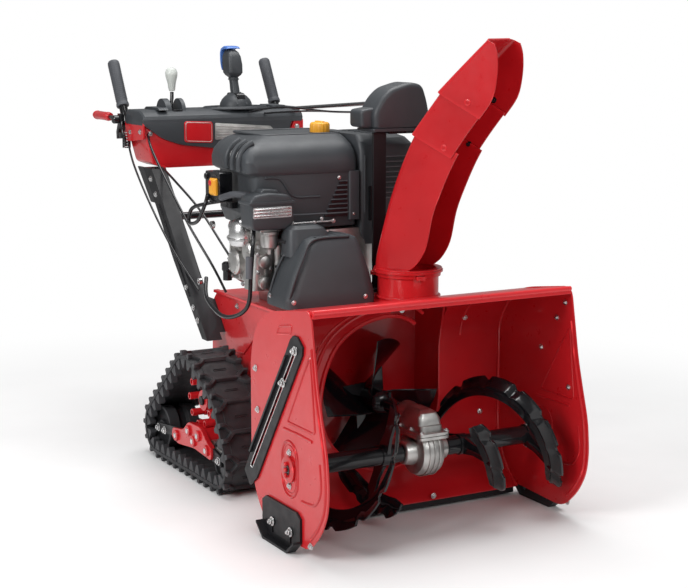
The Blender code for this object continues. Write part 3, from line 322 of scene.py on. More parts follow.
def block(low, high, radius=0.0, axis="z"):
    """Box between two corners, with rounded corners across the axis."""
    order = {"x": (1, 2, 0), "y": (0, 2, 1), "z": (0, 1, 2)}[axis]
    a, b, c = order
    corners = [(low[a], low[b]), (high[a], low[b]), (high[a], high[b]), (low[a], high[b])]
    if radius:
        corners = rounded(corners, radius)
    return prism(corners, axis, low[c], high[c])


def lathe(profile, axis, centre, segments=36):
    """Turned solid from (radius, level) pairs, capped at both ends."""
    return loft([[placed(axis, a, b, level) for a, b in circle(centre, radius, segments, 0.5)]
                 for radius, level in profile])


def ring(axis, centre, outer, inner, low, high, segments=36):
    """Round tube with a square section."""
    corners = ((inner, low), (outer, low), (outer, high), (inner, high))
    return loft([[placed(axis, a, b, level) for a, b in circle(centre, radius, segments)]
                 for radius, level in corners], closed=True)


def flowing(points, steps=6):
    """Dense points on a smooth curve through the given ones."""
    rows = [Vector(point) for point in points]
    result = []
    for i in range(len(rows) - 1):
        before, a, b, after = rows[max(i - 1, 0)], rows[i], rows[i + 1], rows[min(i + 2, len(rows) - 1)]
        for k in range(steps):
            t = k / steps
            bend = (b - before) * (t - 2 * t ** 2 + t ** 3) / 2 + (after - a) * (t ** 3 - t ** 2) / 2
            result.append(a * (1 - 3 * t ** 2 + 2 * t ** 3) + b * (3 * t ** 2 - 2 * t ** 3) + bend)
    return result + [rows[-1]]


def flowing_flat(points, steps=5):
    """A smooth curve through points of a plane."""
    return [tuple(point) for point in flowing(points, steps)]


def sweep(points, radius, segments=10, closed=False):
    """Round bar along a path; radius is one number or one for each point."""
    path = [Vector(point) for point in points]
    count = len(path)
    sections, side = [], None
    for i, here in enumerate(path):
        if closed:
            along = (path[(i + 1) % count] - path[i - 1]).normalized()
        else:
            along = (path[min(i + 1, count - 1)] - path[max(i - 1, 0)]).normalized()
        side = along.orthogonal() if side is None else side - along * side.dot(along)
        side.normalize()
        up = along.cross(side)
        size = radius[i] if isinstance(radius, (list, tuple)) else radius
        sections.append([here + side * a + up * b for a, b in circle((0, 0), size, segments)])
    return loft(sections, closed)


def merged(*shapes):
    """Several shapes as one."""
    verts, faces = [], []
    for more_verts, more_faces in shapes:
        start = len(verts)
        verts.extend(more_verts)
        faces.extend(tuple(i + start for i in face) for face in more_faces)
    return verts, faces


def moved(shape, matrix):
    """The shape put through a matrix."""
    verts, faces = shape
    return [tuple(matrix @ Vector(v)) for v in verts], faces


def flipped(shape, sign):
    """The shape itself for sign 1, its mirror image across x for sign -1."""
    verts, faces = shape
    return [(sign * x, y, z) for x, y, z in verts], faces


def doubled(*shapes):
    """The shapes together with their mirror images across x."""
    half = merged(*shapes)
    return merged(flipped(half, -1), half)


def twin_bars(path, radius, segments):
    """Round bars along a path and along its mirror image across x."""
    return merged(*[sweep([(sign * x, y, z) for x, y, z in path], radius, segments) for sign in (-1, 1)])


def bolt(point, axis, sign, size=0.008):
    """Washer and chamfered hexagon head that stands on a face looking along sign * axis."""
    index = "xyz".index(axis)
    base = point[index]
    a, b = [c for i, c in enumerate(point) if i != index]
    washer = lathe([(size * 1.25, base - sign * 0.001), (size * 1.25, base + sign * 0.0012)], axis, (a, b),
                   20)
    levels = [(size, base), (size, base + sign * size * 0.55), (size * 0.82, base + sign * size * 0.72)]
    stud = lathe([(size * 0.45, base), (size * 0.45, base + sign * size)], axis, (a, b), 12)
    return merged(washer, lathe(levels, axis, (a, b), 6), stud)


def bolts(axis, sign, size, points):
    """Equal bolts at several points."""
    return merged(*[bolt(point, axis, sign, size) for point in points])


SIDES = (("right", -1), ("left", 1))
REPLACED = set()


def piece(name, shape, material, body, *nodes, bevel=0.0008, angle=32, slot=None):
    """Make an object from a shape, let it ride on a body and stand for the CAD nodes it replaces."""
    verts, faces = shape
    mesh = bmesh.new()
    corners = [mesh.verts.new(vert) for vert in verts]
    for face in faces:
        mesh.faces.new([corners[i] for i in face])
    bmesh.ops.recalc_face_normals(mesh, faces=mesh.faces)
    data = bpy.data.meshes.new(name)
    mesh.to_mesh(data)
    mesh.free()
    made = bpy.data.objects.new(name, data)
    bpy.context.scene.collection.objects.link(made)
    data.materials.append(material)
    finished(made, bevel, angle)
    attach(made, body)
    if nodes:
        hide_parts(*nodes)
        REPLACED.update(nodes)
    return made


def both_sides(name, shape, material, body, *nodes, **finish):
    """A piece on +X and its mirror image; {} in a name stands for the side."""
    for side, sign in SIDES:
        here = [node.format(side) for node in nodes]
        piece(name.format(side), flipped(shape, sign), material, body.format(side), *here, **finish)


def anchor(joint):
    """Where a joint's axis passes."""
    return Vector(JOINTS[joint]["pos_m"])


# ---------------------------------------------------------------- tracks
def loop_path(circles, grow):
    """Tight line round circles (y, z, radius), anticlockwise, as dense points."""
    points, ends = [], []
    count = len(circles)
    for i in range(count):
        ay, az, ar = circles[i]
        by, bz, br = circles[(i + 1) % count]
        tilt = (ar - br) / hypot(by - ay, bz - az)
        ends.append(atan2(bz - az, by - ay) - atan2(sqrt(1 - tilt * tilt), tilt))
    for i, (y, z, radius) in enumerate(circles):
        start, stop = ends[i - 1], ends[i]
        while stop < start:
            stop += 2 * pi
        steps = max(6, int((stop - start) / 0.08))
        for k in range(steps + 1):
            angle = start + (stop - start) * k / steps
            points.append((y + (radius + grow) * cos(angle), z + (radius + grow) * sin(angle)))
    return points


def resampled(path, count):
    """Equally spaced points round a closed path."""
    loop = path + [path[0]]
    lengths = [hypot(b[0] - a[0], b[1] - a[1]) for a, b in zip(loop, loop[1:])]
    total = sum(lengths)
    result, index, passed = [], 0, 0.0
    for k in range(count):
        target = total * k / count
        while passed + lengths[index] < target:
            passed += lengths[index]
            index += 1
        t = (target - passed) / lengths[index]
        a, b = loop[index], loop[index + 1]
        result.append(Vector((a[0] + (b[0] - a[0]) * t, a[1] + (b[1] - a[1]) * t)))
    return result


PITCHES = 34
PER_PITCH = 6
LUG = 0.0135
BELT_GAP = 0.0012
BELT = 0.0095


def track_circles():
    """Circles (y, z, radius) that the belt runs round: both idlers and the drive wheel's two guides."""
    front, rear, drive = (anchor(name)
                          for name in ("front_idler_left_spin", "rear_idler_left_spin",
                                       "sprocket_left_spin"))
    return [(front.y, front.z, 0.0615), (rear.y, rear.z, 0.0615), (drive.y + 0.045, drive.z + 0.020, 0.088),
            (drive.y - 0.095, drive.z - 0.026, 0.060)]


class Belt:
    """Endless line round the track's wheels, cut into equal steps."""

    def __init__(self, grow, steps):
        """Lay the line a given distance outside the wheels."""
        self.points = resampled(loop_path(track_circles(), grow), steps)
        self.step = (self.points[1] - self.points[0]).length

    def at(self, index, height):
        """The place a number of steps along the line, raised outward by a height."""
        whole = int(index // 1)
        a, b = self.points[whole % len(self.points)], self.points[(whole + 1) % len(self.points)]
        along = (b - a).normalized()
        return a + (b - a) * (index - whole) + Vector((along.y, -along.x)) * height


def tread_rib(belt, middle, path, width):
    """Tapered rubber rib along (index, across, height) points of the belt."""
    flat = [Vector((index * belt.step, across)) for index, across, height in path]
    sections = []
    for i, (index, across, height) in enumerate(path):
        along = (flat[min(i + 1, len(flat) - 1)] - flat[max(i - 1, 0)]).normalized()
        side = Vector((-along.y, along.x))
        section = []
        for share, rise in ((-1, -0.002), (-0.85, height * 0.75), (-0.6, height), (0.6, height),
                            (0.85, height * 0.75), (1, -0.002)):
            spot = belt.at(index + side.x * width * share / belt.step, rise)
            section.append((middle + across + side.y * width * share, spot.x, spot.y))
        sections.append(section)
    return loft(sections)


def tread_bars(belt, middle, half, first):
    """A cross bar between two pitches that forks into a lug of each at both edges."""
    centre = first + PER_PITCH / 2
    low, high = LUG * 0.72, LUG * 0.96
    bars = [tread_rib(belt, middle, [(centre, a, low) for a in (-0.042, 0, 0.042)], 0.0065)]
    for sign in (-1, 1):
        for lug in (first, first + PER_PITCH):
            lean = (lug - centre) / PER_PITCH * 2
            path = [(centre + lean * 0.5, sign * 0.036, low), (centre + lean * 2.6, sign * 0.052, low),
                    (lug, sign * 0.058, high), (lug, sign * half, high)]
            bars.append(tread_rib(belt, middle, path, 0.0068))
    return bars


def pad_figure(belt, middle, index):
    """Raised bow and eight-cornered rim on the flat pad at a step of the belt."""
    bow = []
    for i in range(24):
        turn = 2 * pi * i / 24
        spot = belt.at(index + sin(turn) * (0.0024 + 0.0042 * cos(turn) ** 2) / belt.step, 0.0004)
        bow.append((middle + 0.019 * cos(turn), spot.x, spot.y))
    pad = [(-5.2, 0.030), (-5.2, -0.030), (-3.6, -0.047), (3.6, -0.047), (5.2, -0.030), (5.2, 0.030),
           (3.6, 0.047), (-3.6, 0.047)]
    rim = []
    for (s0, a0), (s1, a1) in zip(pad, pad[1:] + pad[:1]):
        for t in (0, 0.25, 0.5, 0.75):
            spot = belt.at(index + s0 + (s1 - s0) * t, 0.0002)
            rim.append((middle + a0 + (a1 - a0) * t, spot.x, spot.y))
    return [sweep(bow, 0.0013, 6, closed=True), sweep(rim, 0.0015, 6, closed=True)]


def make_tracks():
    """Rubber belts: treads and pads outside, guide teeth inside."""
    lo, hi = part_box("track_left")
    half, middle = (hi.x - lo.x) / 2, (hi.x + lo.x) / 2
    inside = Belt(BELT_GAP, PITCHES * PER_PITCH)
    outside = Belt(BELT_GAP + BELT, PITCHES * PER_PITCH)
    band = [[(lo.x, *a), (hi.x, *a), (hi.x, *b), (lo.x, *b)] for a, b in zip(inside.points, outside.points)]
    shapes = [loft(band, closed=True)]
    for first in range(1, PITCHES * PER_PITCH, 2 * PER_PITCH):
        shapes += tread_bars(outside, middle, half, first)
        shapes += pad_figure(outside, middle, first + 1.5 * PER_PITCH)
    tooth = ((-0.016, 0.001), (0.016, 0.001), (0.005, -0.025), (-0.005, -0.025))
    for index in range(1, PITCHES * PER_PITCH, PER_PITCH):
        line = [inside.at(index + a / inside.step, b) for a, b in tooth]
        for ends in ((0.050, half - 0.002), (-half + 0.002, -0.0550)):
            shapes.append(loft([[(middle + across, *spot) for spot in line] for across in ends]))
    both_sides("track_belt_{}", merged(*shapes), RUBBER, "tracks", "track_{}", bevel=0.0006)


def make_sprockets():
    """Cast drive wheel: a scalloped rim of hollow pegs on a webbed hub."""
    axle = tuple(anchor("sprocket_left_spin").yz)
    rim = circle(axle, 0.0665, 72, depth=0.007, waves=9)
    shapes = [ring("x", axle, 0.052, 0.034, 0.250, 0.272, 40), prism(rim, "x", 0.256, 0.267),
              ring("x", axle, 0.028, 0.0128, 0.216, 0.300, 32)]
    for spot in circle(axle, 0.066, 9):
        shapes.append(ring("x", spot, 0.0098, 0.0058, 0.212, 0.310, 18))
        shapes.append(lathe([(0.012, 0.250), (0.012, 0.274)], "x", spot, 18))
    heads = bolts("x", 1, 0.007, [(0.2715, *spot) for spot in circle(axle, 0.042, 5, 0.3)])
    both_sides("sprocket_cast_{}", merged(*shapes), RED, "sprocket_{}", "sprocket_{}")
    both_sides("sprocket_bolts_{}", heads, STEEL, "sprocket_{}", bevel=0.0004)


def make_track_details():
    """Chromed nuts, the red carrier casting and the grey tensioner of each track frame."""
    front, rear = anchor("front_idler_left_spin"), anchor("rear_idler_left_spin")
    axles = ((front.y, front.z), (rear.y, rear.z), (rear.y - 0.045, rear.z + 0.001))
    nuts = bolts("x", 1, 0.009, [(0.3222, y, z) for y, z in axles])
    carrier = prism(rounded([(-0.100, 0.078), (0.010, 0.086), (0.120, 0.074), (0.165, 0.084),
                             (0.160, 0.112), (0.085, 0.122), (0.048, 0.152), (-0.030, 0.154),
                             (-0.070, 0.126), (-0.104, 0.108)], 0.012), "x", 0.3140, 0.3275)
    core = prism(rounded([(-0.060, 0.090), (0.080, 0.088), (0.090, 0.118), (0.046, 0.150), (-0.030, 0.152),
                          (-0.064, 0.124)], 0.012), "x", 0.276, 0.318)
    lug_spots = ((-0.074, 0.100), (-0.020, 0.128), (0.044, 0.128), (0.012, 0.106), (0.128, 0.096))
    lugs = [ring("x", spot, 0.0150, 0.0062, 0.300, 0.3335, 24) for spot in lug_spots]
    lugs.append(core)
    caps = [lathe([(0.0075, 0.318), (0.0075, 0.3345), (0.004, 0.3355)], "x", spot, 20)
            for spot in lug_spots]
    tensioner = merged(sweep([(0.300, -0.062, 0.112), (0.300, -0.118, 0.098)], 0.0085, 16),
                       block((0.290, -0.094, 0.074), (0.310, -0.064, 0.126), 0.006, "x"))
    both_sides("frame_nuts_{}", merged(nuts, *caps), STEEL, "tracks", bevel=0.0004)
    both_sides("track_carrier_{}", merged(carrier, *lugs), RED, "tracks", bevel=0.0015)
    both_sides("tensioner_{}", tensioner, CAST, "tracks")


# ---------------------------------------------------------------- augers and impeller
AUGER = anchor("auger_spin")
SHAFT = anchor("impeller_spin")
TWIST = 1050.0
RIBBON = 0.048
NOTCH = 0.010


def flight_angle(phase, x):
    """Angle of a ribbon at a distance from the middle; it turns by TWIST degrees for each metre."""
    return phase - radians(TWIST) * (x - 0.1)


def spiral(x, angle, radius):
    """A point at an angle and radius round the auger's axis."""
    return Vector((x, AUGER.y - radius * cos(angle), AUGER.z + radius * sin(angle)))


def flight(phase, start, end, outer):
    """Ribbon with a notched edge and a pressed rib along its middle; it leans outwards."""
    inner, middle, lean, half = outer - RIBBON, outer - RIBBON / 2, 0.011, 0.0032
    steps = max(12, int((end - start) * 330))
    sections = []
    for i in range(steps + 1):
        x = start + (end - start) * i / steps
        angle = flight_angle(phase, x)
        notch = NOTCH if i % 10 in (4, 5) and 0 < i < steps else 0.0
        ends = min(1.0, 0.45 + 0.2 * min(i, steps - i))
        points = []
        for share in (0.0, 0.30, 0.42, 0.50, 0.58, 0.70, 1.0):
            radius = middle + (inner + (outer - notch - inner) * share - middle) * ends
            rise = 0.0045 * max(0.0, 1 - abs(share - 0.5) / 0.2)
            points.append((x - lean + 2 * lean * share, radius, rise))
        front = [spiral(a - half - c, angle, b) for a, b, c in points]
        back = [spiral(a + half - c, angle, b) for a, b, c in points[::-1]]
        sections.append(front + back)
    return loft(sections)


def arm(x, angle, reach):
    """Pressed arm with a central rib, from the sleeve to its flight."""
    across = Vector((0, sin(angle), cos(angle)))
    sections = []
    for radius, width, depth in ((0.018, 0.021, 0.005), (0.060, 0.014, 0.004), (reach - 0.03, 0.016, 0.004),
                                 (reach, 0.020, 0.004)):
        spot = spiral(x, angle, radius)
        section = [(-width, -depth), (-width * 0.35, -depth), (0, -depth - 0.004), (width * 0.35, -depth),
                   (width, -depth), (width, depth), (-width, depth)]
        sections.append([spot + across * a + Vector((b, 0, 0)) for a, b in section])
    return loft(sections)


def make_augers():
    """Two ribbons with their arms on each turning sleeve, and the shear pins that hold the sleeves."""
    lo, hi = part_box("auger_left")
    outer = min((hi.z - lo.z) / 2, 0.178)
    axle = (AUGER.y, AUGER.z)
    for (side, sign), phase in zip(SIDES, (radians(76), radians(190))):
        shapes = [ring("x", axle, 0.023, 0.0146, 0.064, 0.340, 32)]
        shapes += [ring("x", axle, 0.0265, 0.0225, x, x + 0.022, 32) for x in (0.300, 0.100)]
        for turn, start, end, arms in ((phase, 0.085, 0.332, (0.110, 0.300)),
                                       (phase + pi, 0.078, 0.150, (0.112,))):
            shapes.append(flight(turn, start, end, outer))
            shapes += [arm(x, flight_angle(turn, x), outer - RIBBON / 2) for x in arms]
        piece("auger_flights_" + side, flipped(merged(*shapes), sign), BLACK, "auger", "auger_" + side,
              bevel=0.0009, angle=38)
    x, y, z = 0.311, AUGER.y, AUGER.z
    pin = merged(bolt((x, y - 0.001, z + 0.0262), "z", 1, 0.008),
                 bolt((x, y + 0.001, z - 0.0262), "z", -1, 0.008),
                 sweep([(x, y, z - 0.027), (x, y, z + 0.027)], 0.0035))
    both_sides("shear_pin_{}", pin, STEEL, "auger", bevel=0.0004)


def blade(turn):
    """Scooped throwing blade: its face curls forward at the tip and towards the front edge."""
    root, tip, half = 0.024, 0.1615, 0.0022
    sections = []
    for i in range(15):
        t = i / 14
        radius = root + (tip - root) * t
        swing = 0.060 * t
        front = -0.440 + 0.016 * (1 - t) ** 2
        depth = 0.100 - 0.012 * t
        near, far = [], []
        for k in range(7):
            share = k / 6
            curl = 0.125 * (0.30 + 0.70 * t) * (1 - share) ** 1.3
            for side, line in ((-half, near), (half, far)):
                lean = (swing - curl + side) / radius
                line.append((radius * sin(lean), front + depth * share, radius * cos(lean)))
        sections.append(near + far[::-1])
    place = Matrix.Translation((0, 0, SHAFT.z)) @ Matrix.Rotation(turn, 4, "Y")
    gusset = prism([(-0.003, 0.022), (0.036, 0.022), (0.012, 0.085), (-0.003, 0.095)], "y", -0.372, -0.366)
    return merged(moved(loft(sections), place), moved(gusset, place))


def make_impeller():
    """Four scooped blades on a hub, on the gear case's shaft."""
    centre = (0, SHAFT.z)
    shapes = [blade(i * pi / 2 + 0.3) for i in range(4)]
    shapes.append(lathe([(0.010, -0.450), (0.022, -0.446), (0.031, -0.436), (0.031, -0.328),
                         (0.026, -0.324)], "y", centre))
    shapes.append(lathe([(0.010, AUGER.y - 0.035), (0.010, -0.256)], "y", centre, 28))
    shapes.append(lathe([(0.018, -0.520), (0.018, -0.470)], "y", centre, 28))
    piece("impeller_rotor", merged(*shapes), BLACK, "impeller", "impeller", bevel=0.0008)


def make_gearcase():
    """Ribbed two-part casting: the wheel housing below, the worm housing above its bolted flange."""
    y, z = AUGER.y, AUGER.z
    wheel = lathe([(0.044, -0.033), (0.056, -0.029), (0.061, -0.018), (0.061, 0.018), (0.056, 0.029),
                   (0.044, 0.033)], "x", (y, z), 44)
    hub = lathe([(0.024, -0.061), (0.029, -0.058), (0.034, -0.030), (0.034, 0.030), (0.029, 0.058),
                 (0.024, 0.061)], "x", (y, z), 36)
    ribs = [lathe([(0.064, x - 0.002), (0.064, x + 0.002)], "x", (y, z), 44) for x in (-0.014, 0.0, 0.014)]
    flange = rounded([(-0.043, y - 0.062), (0.043, y - 0.062), (0.043, y + 0.056), (-0.043, y + 0.056)],
                     0.016)
    plates = [prism(flange, "z", 0.231, 0.239), prism(flange, "z", 0.2396, 0.248)]
    body = rounded([(-0.033, y - 0.046), (0.033, y - 0.046), (0.033, y + 0.044), (-0.033, y + 0.044)],
                   0.014)
    neck = loft([[(a * s, y + (b - y) * s, level) for a, b in body]
                 for level, s in ((0.206, 0.92), (0.222, 1.0), (0.250, 1.0), (0.262, 0.95))])
    lid = loft([[(a * s, y + 0.010 + (b - y) * t, level) for a, b in body]
                for level, s, t in ((0.247, 0.98, 1.02), (0.262, 1.0, 1.06), (0.278, 0.93, 1.0),
                                    (0.290, 0.74, 0.86), (0.297, 0.45, 0.62))])
    sleeve = lathe([(0.018, y - 0.030), (0.0285, y - 0.010), (0.0290, y + 0.050), (0.031, y + 0.064),
                    (0.031, y + 0.078), (0.020, y + 0.098)], "y", (0, SHAFT.z), 32)
    piece("gearcase_cast", merged(wheel, hub, *ribs, *plates, neck, lid, sleeve), CAST, "machine",
          "auger_gearcase", bevel=0.0014, angle=28)
    spots = [(x, y + back, 0.248) for x in (-0.035, 0.035) for back in (-0.052, -0.004, 0.046)]
    piece("gearcase_bolts", bolts("z", 1, 0.006, spots), STEEL, "machine", bevel=0.0004)


# ---------------------------------------------------------------- auger housing
PLATE_FACE = 0.362
CUTTER_STUDS = ((-0.672, 0.482), (-0.610, 0.396))
SKID_STUDS = ((-0.645, 0.046), (-0.550, 0.046))
CUTTER_REACH = 0.0055
SKID_REACH = 0.0066


def bead(points, radius, closed=False):
    """Pressed bead along (y, z) points of the side plate's outer face."""
    return sweep([(PLATE_FACE - radius * 0.35, y, z) for y, z in points], radius, 10, closed)


def clamp_nut(reach, spot):
    """Stud, washer and nut that hold a slotted piece whose outer face stands off by reach."""
    base = PLATE_FACE + reach
    turned = (([(0.0042, PLATE_FACE - 0.001), (0.0042, base + 0.002)], 16),
              ([(0.0105, base + 0.0007), (0.0115, base + 0.0012), (0.0115, base + 0.0026)], 28),
              ([(0.0082, base + 0.0024), (0.0082, base + 0.0080), (0.0068, base + 0.0096)], 6),
              ([(0.0042, base), (0.0042, base + 0.0125), (0.0030, base + 0.0135)], 16))
    return merged(*[lathe(profile, "x", spot, segments) for profile, segments in turned])


def make_side_plates():
    """Side plates with pressed beads, an oval bearing recess and chromed fasteners."""
    y, z, face = AUGER.y, AUGER.z, PLATE_FACE
    outline = [(-0.735, 0.584), (-0.768, 0.410), (-0.788, 0.340), (-0.813, 0.258), (-0.820, 0.180),
               (-0.812, 0.125), (-0.780, 0.072), (-0.722, 0.020), (-0.500, 0.030), (-0.450, 0.085),
               (-0.424, 0.150), (-0.424, 0.420), (-0.440, 0.477), (-0.466, 0.514), (-0.510, 0.543),
               (-0.560, 0.557)]
    shapes = [prism(rounded(outline, 0.030, 4), "x", face - 0.004, face)]
    for radius, thick in ((0.040, 0.0042), (0.031, 0.0020)):
        oval = arc((y, z + 0.026), radius, 0, 180, 14) + arc((y, z - 0.026), radius, 180, 360, 14)
        shapes.append(bead(oval, thick, True))
    rim = [(-0.7395, 0.498), (-0.746, 0.465), (-0.756, 0.410), (-0.776, 0.335), (-0.799, 0.256),
           (-0.805, 0.182), (-0.797, 0.131), (-0.768, 0.084), (-0.735, 0.052)]
    panel = [(-0.734, 0.482), (-0.742, 0.420), (-0.756, 0.304), (-0.618, 0.304)]
    lower = [(-0.778, 0.240), (-0.784, 0.180), (-0.760, 0.142), (-0.722, 0.133), (-0.690, 0.131)]
    step = [(-0.645, 0.536), (-0.580, 0.524), (-0.566, 0.504), (-0.640, 0.516)]
    shapes += [bead(flowing_flat(rim), 0.0052), bead(rounded(panel, 0.012, 4), 0.0040, True),
               bead([(-0.742, 0.284), (-0.680, 0.286), (-0.600, 0.284)], 0.0046),
               bead(flowing_flat(lower), 0.0042), bead(rounded(step, 0.008), 0.003, True)]
    for rise in (-0.0135, 0.0, 0.0135):
        peg = [(0.006, face - 0.001), (0.006, face + 0.0135), (0.003, face + 0.0155)]
        shapes.append(lathe(peg, "x", (y, z + rise), 20))
    shapes.append(lathe([(0.0300, face), (0.0315, face + 0.0064), (0.0250, face + 0.0078)], "x", (y, z),
                        36))
    both_sides("side_plate_sheet_{}", merged(*shapes), RED, "machine", "side_plate_{}", "auger_bearing_{}",
               bevel=0.0006)
    outer = ((y, z + 0.040), (y, z - 0.040), (-0.735, 0.036), (-0.462, 0.300), (-0.452, 0.400))
    inner = ((-0.681, 0.497), (-0.618, 0.411), (-0.714, 0.540), (-0.735, 0.330))
    heads = [bolts("x", 1, 0.0068, [(face + 0.0005, *spot) for spot in outer]),
             bolts("x", -1, 0.006, [(face - 0.004, *spot) for spot in inner])]
    nuts = [clamp_nut(CUTTER_REACH, spot) for spot in CUTTER_STUDS]
    nuts += [clamp_nut(SKID_REACH, spot) for spot in SKID_STUDS]
    both_sides("side_fasteners_{}", merged(*heads, *nuts), STEEL, "machine", bevel=0.0004)


def housing_line(shift):
    """Inside line of the housing sheet in (y, z), moved off the sheet by shift."""
    roof = [(-0.731, 0.5785), (-0.600, 0.556)]
    shoulder = arc((-0.580, 0.400), 0.152 - shift, 80, 8, 16)
    bowl = arc((AUGER.y, AUGER.z), 0.200 - shift, 0, -58, 14)
    return [(roof[0][0], roof[0][1] - shift), (roof[1][0], roof[1][1] - shift)] + shoulder + bowl


def surface_y(z):
    """Depth of the housing's inside face at a height."""
    line = housing_line(0.0)[2:]
    for (ya, za), (yb, zb) in zip(line, line[1:]):
        if zb <= z <= za:
            return ya + (yb - ya) * (z - za) / (zb - za)
    return line[0][0] if z > line[0][1] else line[-1][0]


def make_housing_details():
    """Rolled lip, welded seam, drum flange and interior bolts of the auger housing."""
    lo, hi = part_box("auger_housing")
    lip = sweep([(x, lo.y + 0.004, hi.z - 0.0045) for x in (lo.x + 0.001, 0, hi.x - 0.001)], 0.0062, 14)
    line = [(y, z) for y, z in housing_line(0.001) if z > 0.25]
    seam = sweep([(0.235, y, z) for y, z in line], 0.0026, 8)
    corners = twin_bars([(hi.x - 0.0015, y, z) for y, z in housing_line(0.0015)], 0.0040, 8)
    drum_lo, drum_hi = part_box("impeller_drum")
    radius = (drum_hi.x - drum_lo.x) / 2 - 0.004
    arch = []
    for i in range(25):
        turn = radians(180 - 5.0 * i)
        arch.append((radius * cos(turn), SHAFT.z + 0.222 * sin(turn)))
    flange = []
    for offset, thick in ((0.004, 0.0060), (0.030, 0.0050), (0.044, 0.0040)):
        grow = 1 + offset / radius
        grown = [(x * grow, SHAFT.z + (z - SHAFT.z) * grow) for x, z in arch]
        flange.append(sweep([(x, surface_y(z), z) for x, z in grown], thick, 8))
    mouth = arc((0, SHAFT.z), radius, 180, 360, 20)
    mouth += [(radius, 0.40), (radius, 0.46), (radius - 0.010, 0.500), (0.145, 0.5235)]
    rim = [(x, surface_y(z), z) for x, z in mouth]
    piece("housing_welds", merged(lip, seam, corners, *flange, sweep(rim, 0.0030, 8)), RED, "machine",
          bevel=0)
    spots = ((0.031, 0.512), (0.240, 0.470), (0.300, 0.210), (-0.250, 0.430), (-0.260, 0.200),
             (0.120, 0.100))
    heads = [(x, surface_y(z) - 0.001, z) for x, z in spots]
    heads += [(x, -0.5245, 0.0335) for x in (-0.30, -0.10, 0.10, 0.30)]
    piece("housing_fasteners", bolts("y", -1, 0.0062, heads), STEEL, "machine", bevel=0.0004)


# ---------------------------------------------------------------- chute
SHEET = 0.003
CHUTE_POST = anchor("chute_turn")
CHUTE_FRAME = Matrix.Translation((CHUTE_POST.x, CHUTE_POST.y, 0)) @ Matrix.Rotation(radians(30), 4, "Z")
CHUTE_PARTS = {"chute_lower": (0.066, "chute",
                               [((-0.064, 0.606), (0.036, 0.606)), ((-0.061, 0.640), (0.062, 0.628)),
                                ((-0.046, 0.700), (0.086, 0.672)), ((-0.023, 0.781), (0.103, 0.750)),
                                ((0.006, 0.860), (0.128, 0.815)), ((0.036, 0.926), (0.152, 0.868)),
                                ((0.056, 0.962), (0.172, 0.905))]),
               "deflector_middle": (0.0695, "deflector_middle",
                                    [((0.0400, 0.949), (0.153, 0.893)), ((0.082, 1.004), (0.192, 0.948)),
                                     ((0.124, 1.058), (0.232, 1.000))]),
               "deflector_upper": (0.073, "deflector_upper",
                                   [((0.1125, 1.0535), (0.230, 0.991)), ((0.152, 1.092), (0.264, 1.040)),
                                    ((0.192, 1.130), (0.276, 1.095)), ((0.224, 1.160), (0.276, 1.142)),
                                    ((0.246, 1.180), (0.268, 1.170))])}


def wall_line(back, front, half, set_in):
    """Half of a channel section on +X: open edge, wall, round corner, back."""
    base = Vector(back)
    reach = Vector(front) - base
    depth = reach.length
    reach.normalize()
    bend = min(0.016, depth * 0.5)
    points = [(half, depth)]
    for i in range(7):
        turn = radians(15 * i)
        points.append((half - bend + bend * cos(turn), set_in + (bend - set_in) * (1 - sin(turn))))
    spots = [(side, base + reach * distance) for side, distance in points]
    return [(side, -spot.x, spot.y) for side, spot in spots]


def channel(stations, half, thickness):
    """Three-sided sheet through (back, front) stations, each given in the chute's own (y, z)."""
    sections = []
    for back, front in stations:
        outer = wall_line(back, front, half, 0.0)
        inner = wall_line(back, front, half - thickness, thickness)
        ring_points = outer + [(-x, y, z) for x, y, z in outer[::-1]]
        sections.append(ring_points + [(-x, y, z) for x, y, z in inner] + inner[::-1])
    return loft(sections)


def smooth_stations(stations):
    """Dense (back, front) stations on smooth curves through the given ones."""
    rows = flowing([(*back, *front) for back, front in stations], 5)
    return [(tuple(row[:2]), tuple(row[2:])) for row in rows]


def make_chute():
    """The turning chute, its two deflectors and the rivets and nuts of their hinges."""
    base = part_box("chute_lower")[0].z
    for name, (half, body, stations) in CHUTE_PARTS.items():
        dense = smooth_stations(stations)
        edge = [(half - SHEET / 2, -y, z) for back, (y, z) in dense]
        shapes = [channel(dense, half, SHEET), twin_bars(edge, SHEET / 2, 8)]
        if name == "chute_lower":
            shapes.append(ring("z", (0, 0), 0.089, 0.070, base, base + 0.006, 56))
            shapes.append(ring("z", (0, 0), 0.0865, 0.070, base + 0.006, base + 0.0105, 56))
        if name == "deflector_upper":
            back = dense[-1][0]
            tip = [(x, -back[0], back[1] - 0.001) for x in (-half + 0.016, 0, half - 0.016)]
            shapes.append(sweep(tip, 0.0028, 10))
        piece(name + "_sheet", moved(merged(*shapes), CHUTE_FRAME), RED, body, name, bevel=0.0005, angle=40)
    for body in ("deflector_middle", "deflector_upper"):
        half = CHUTE_PARTS[body][0]
        spot = (CHUTE_FRAME.inverted() @ anchor(body + "_tilt")).yz
        dome = [(0.0085, half - 0.0005), (0.0080, half + 0.0010), (0.0040, half + 0.0018)]
        head = lathe(dome, "x", spot, 24)
        washer = lathe([(0.0080, half - 0.0028), (0.0080, half - 0.0042)], "x", spot, 24)
        nut = lathe([(0.0058, half - 0.0040), (0.0058, half - 0.0095)], "x", spot, 6)
        piece(body + "_rivets", moved(doubled(head), CHUTE_FRAME), RED, body, bevel=0)
        piece(body + "_nuts", moved(doubled(washer, nut), CHUTE_FRAME), BLACK, body, bevel=0.0003)


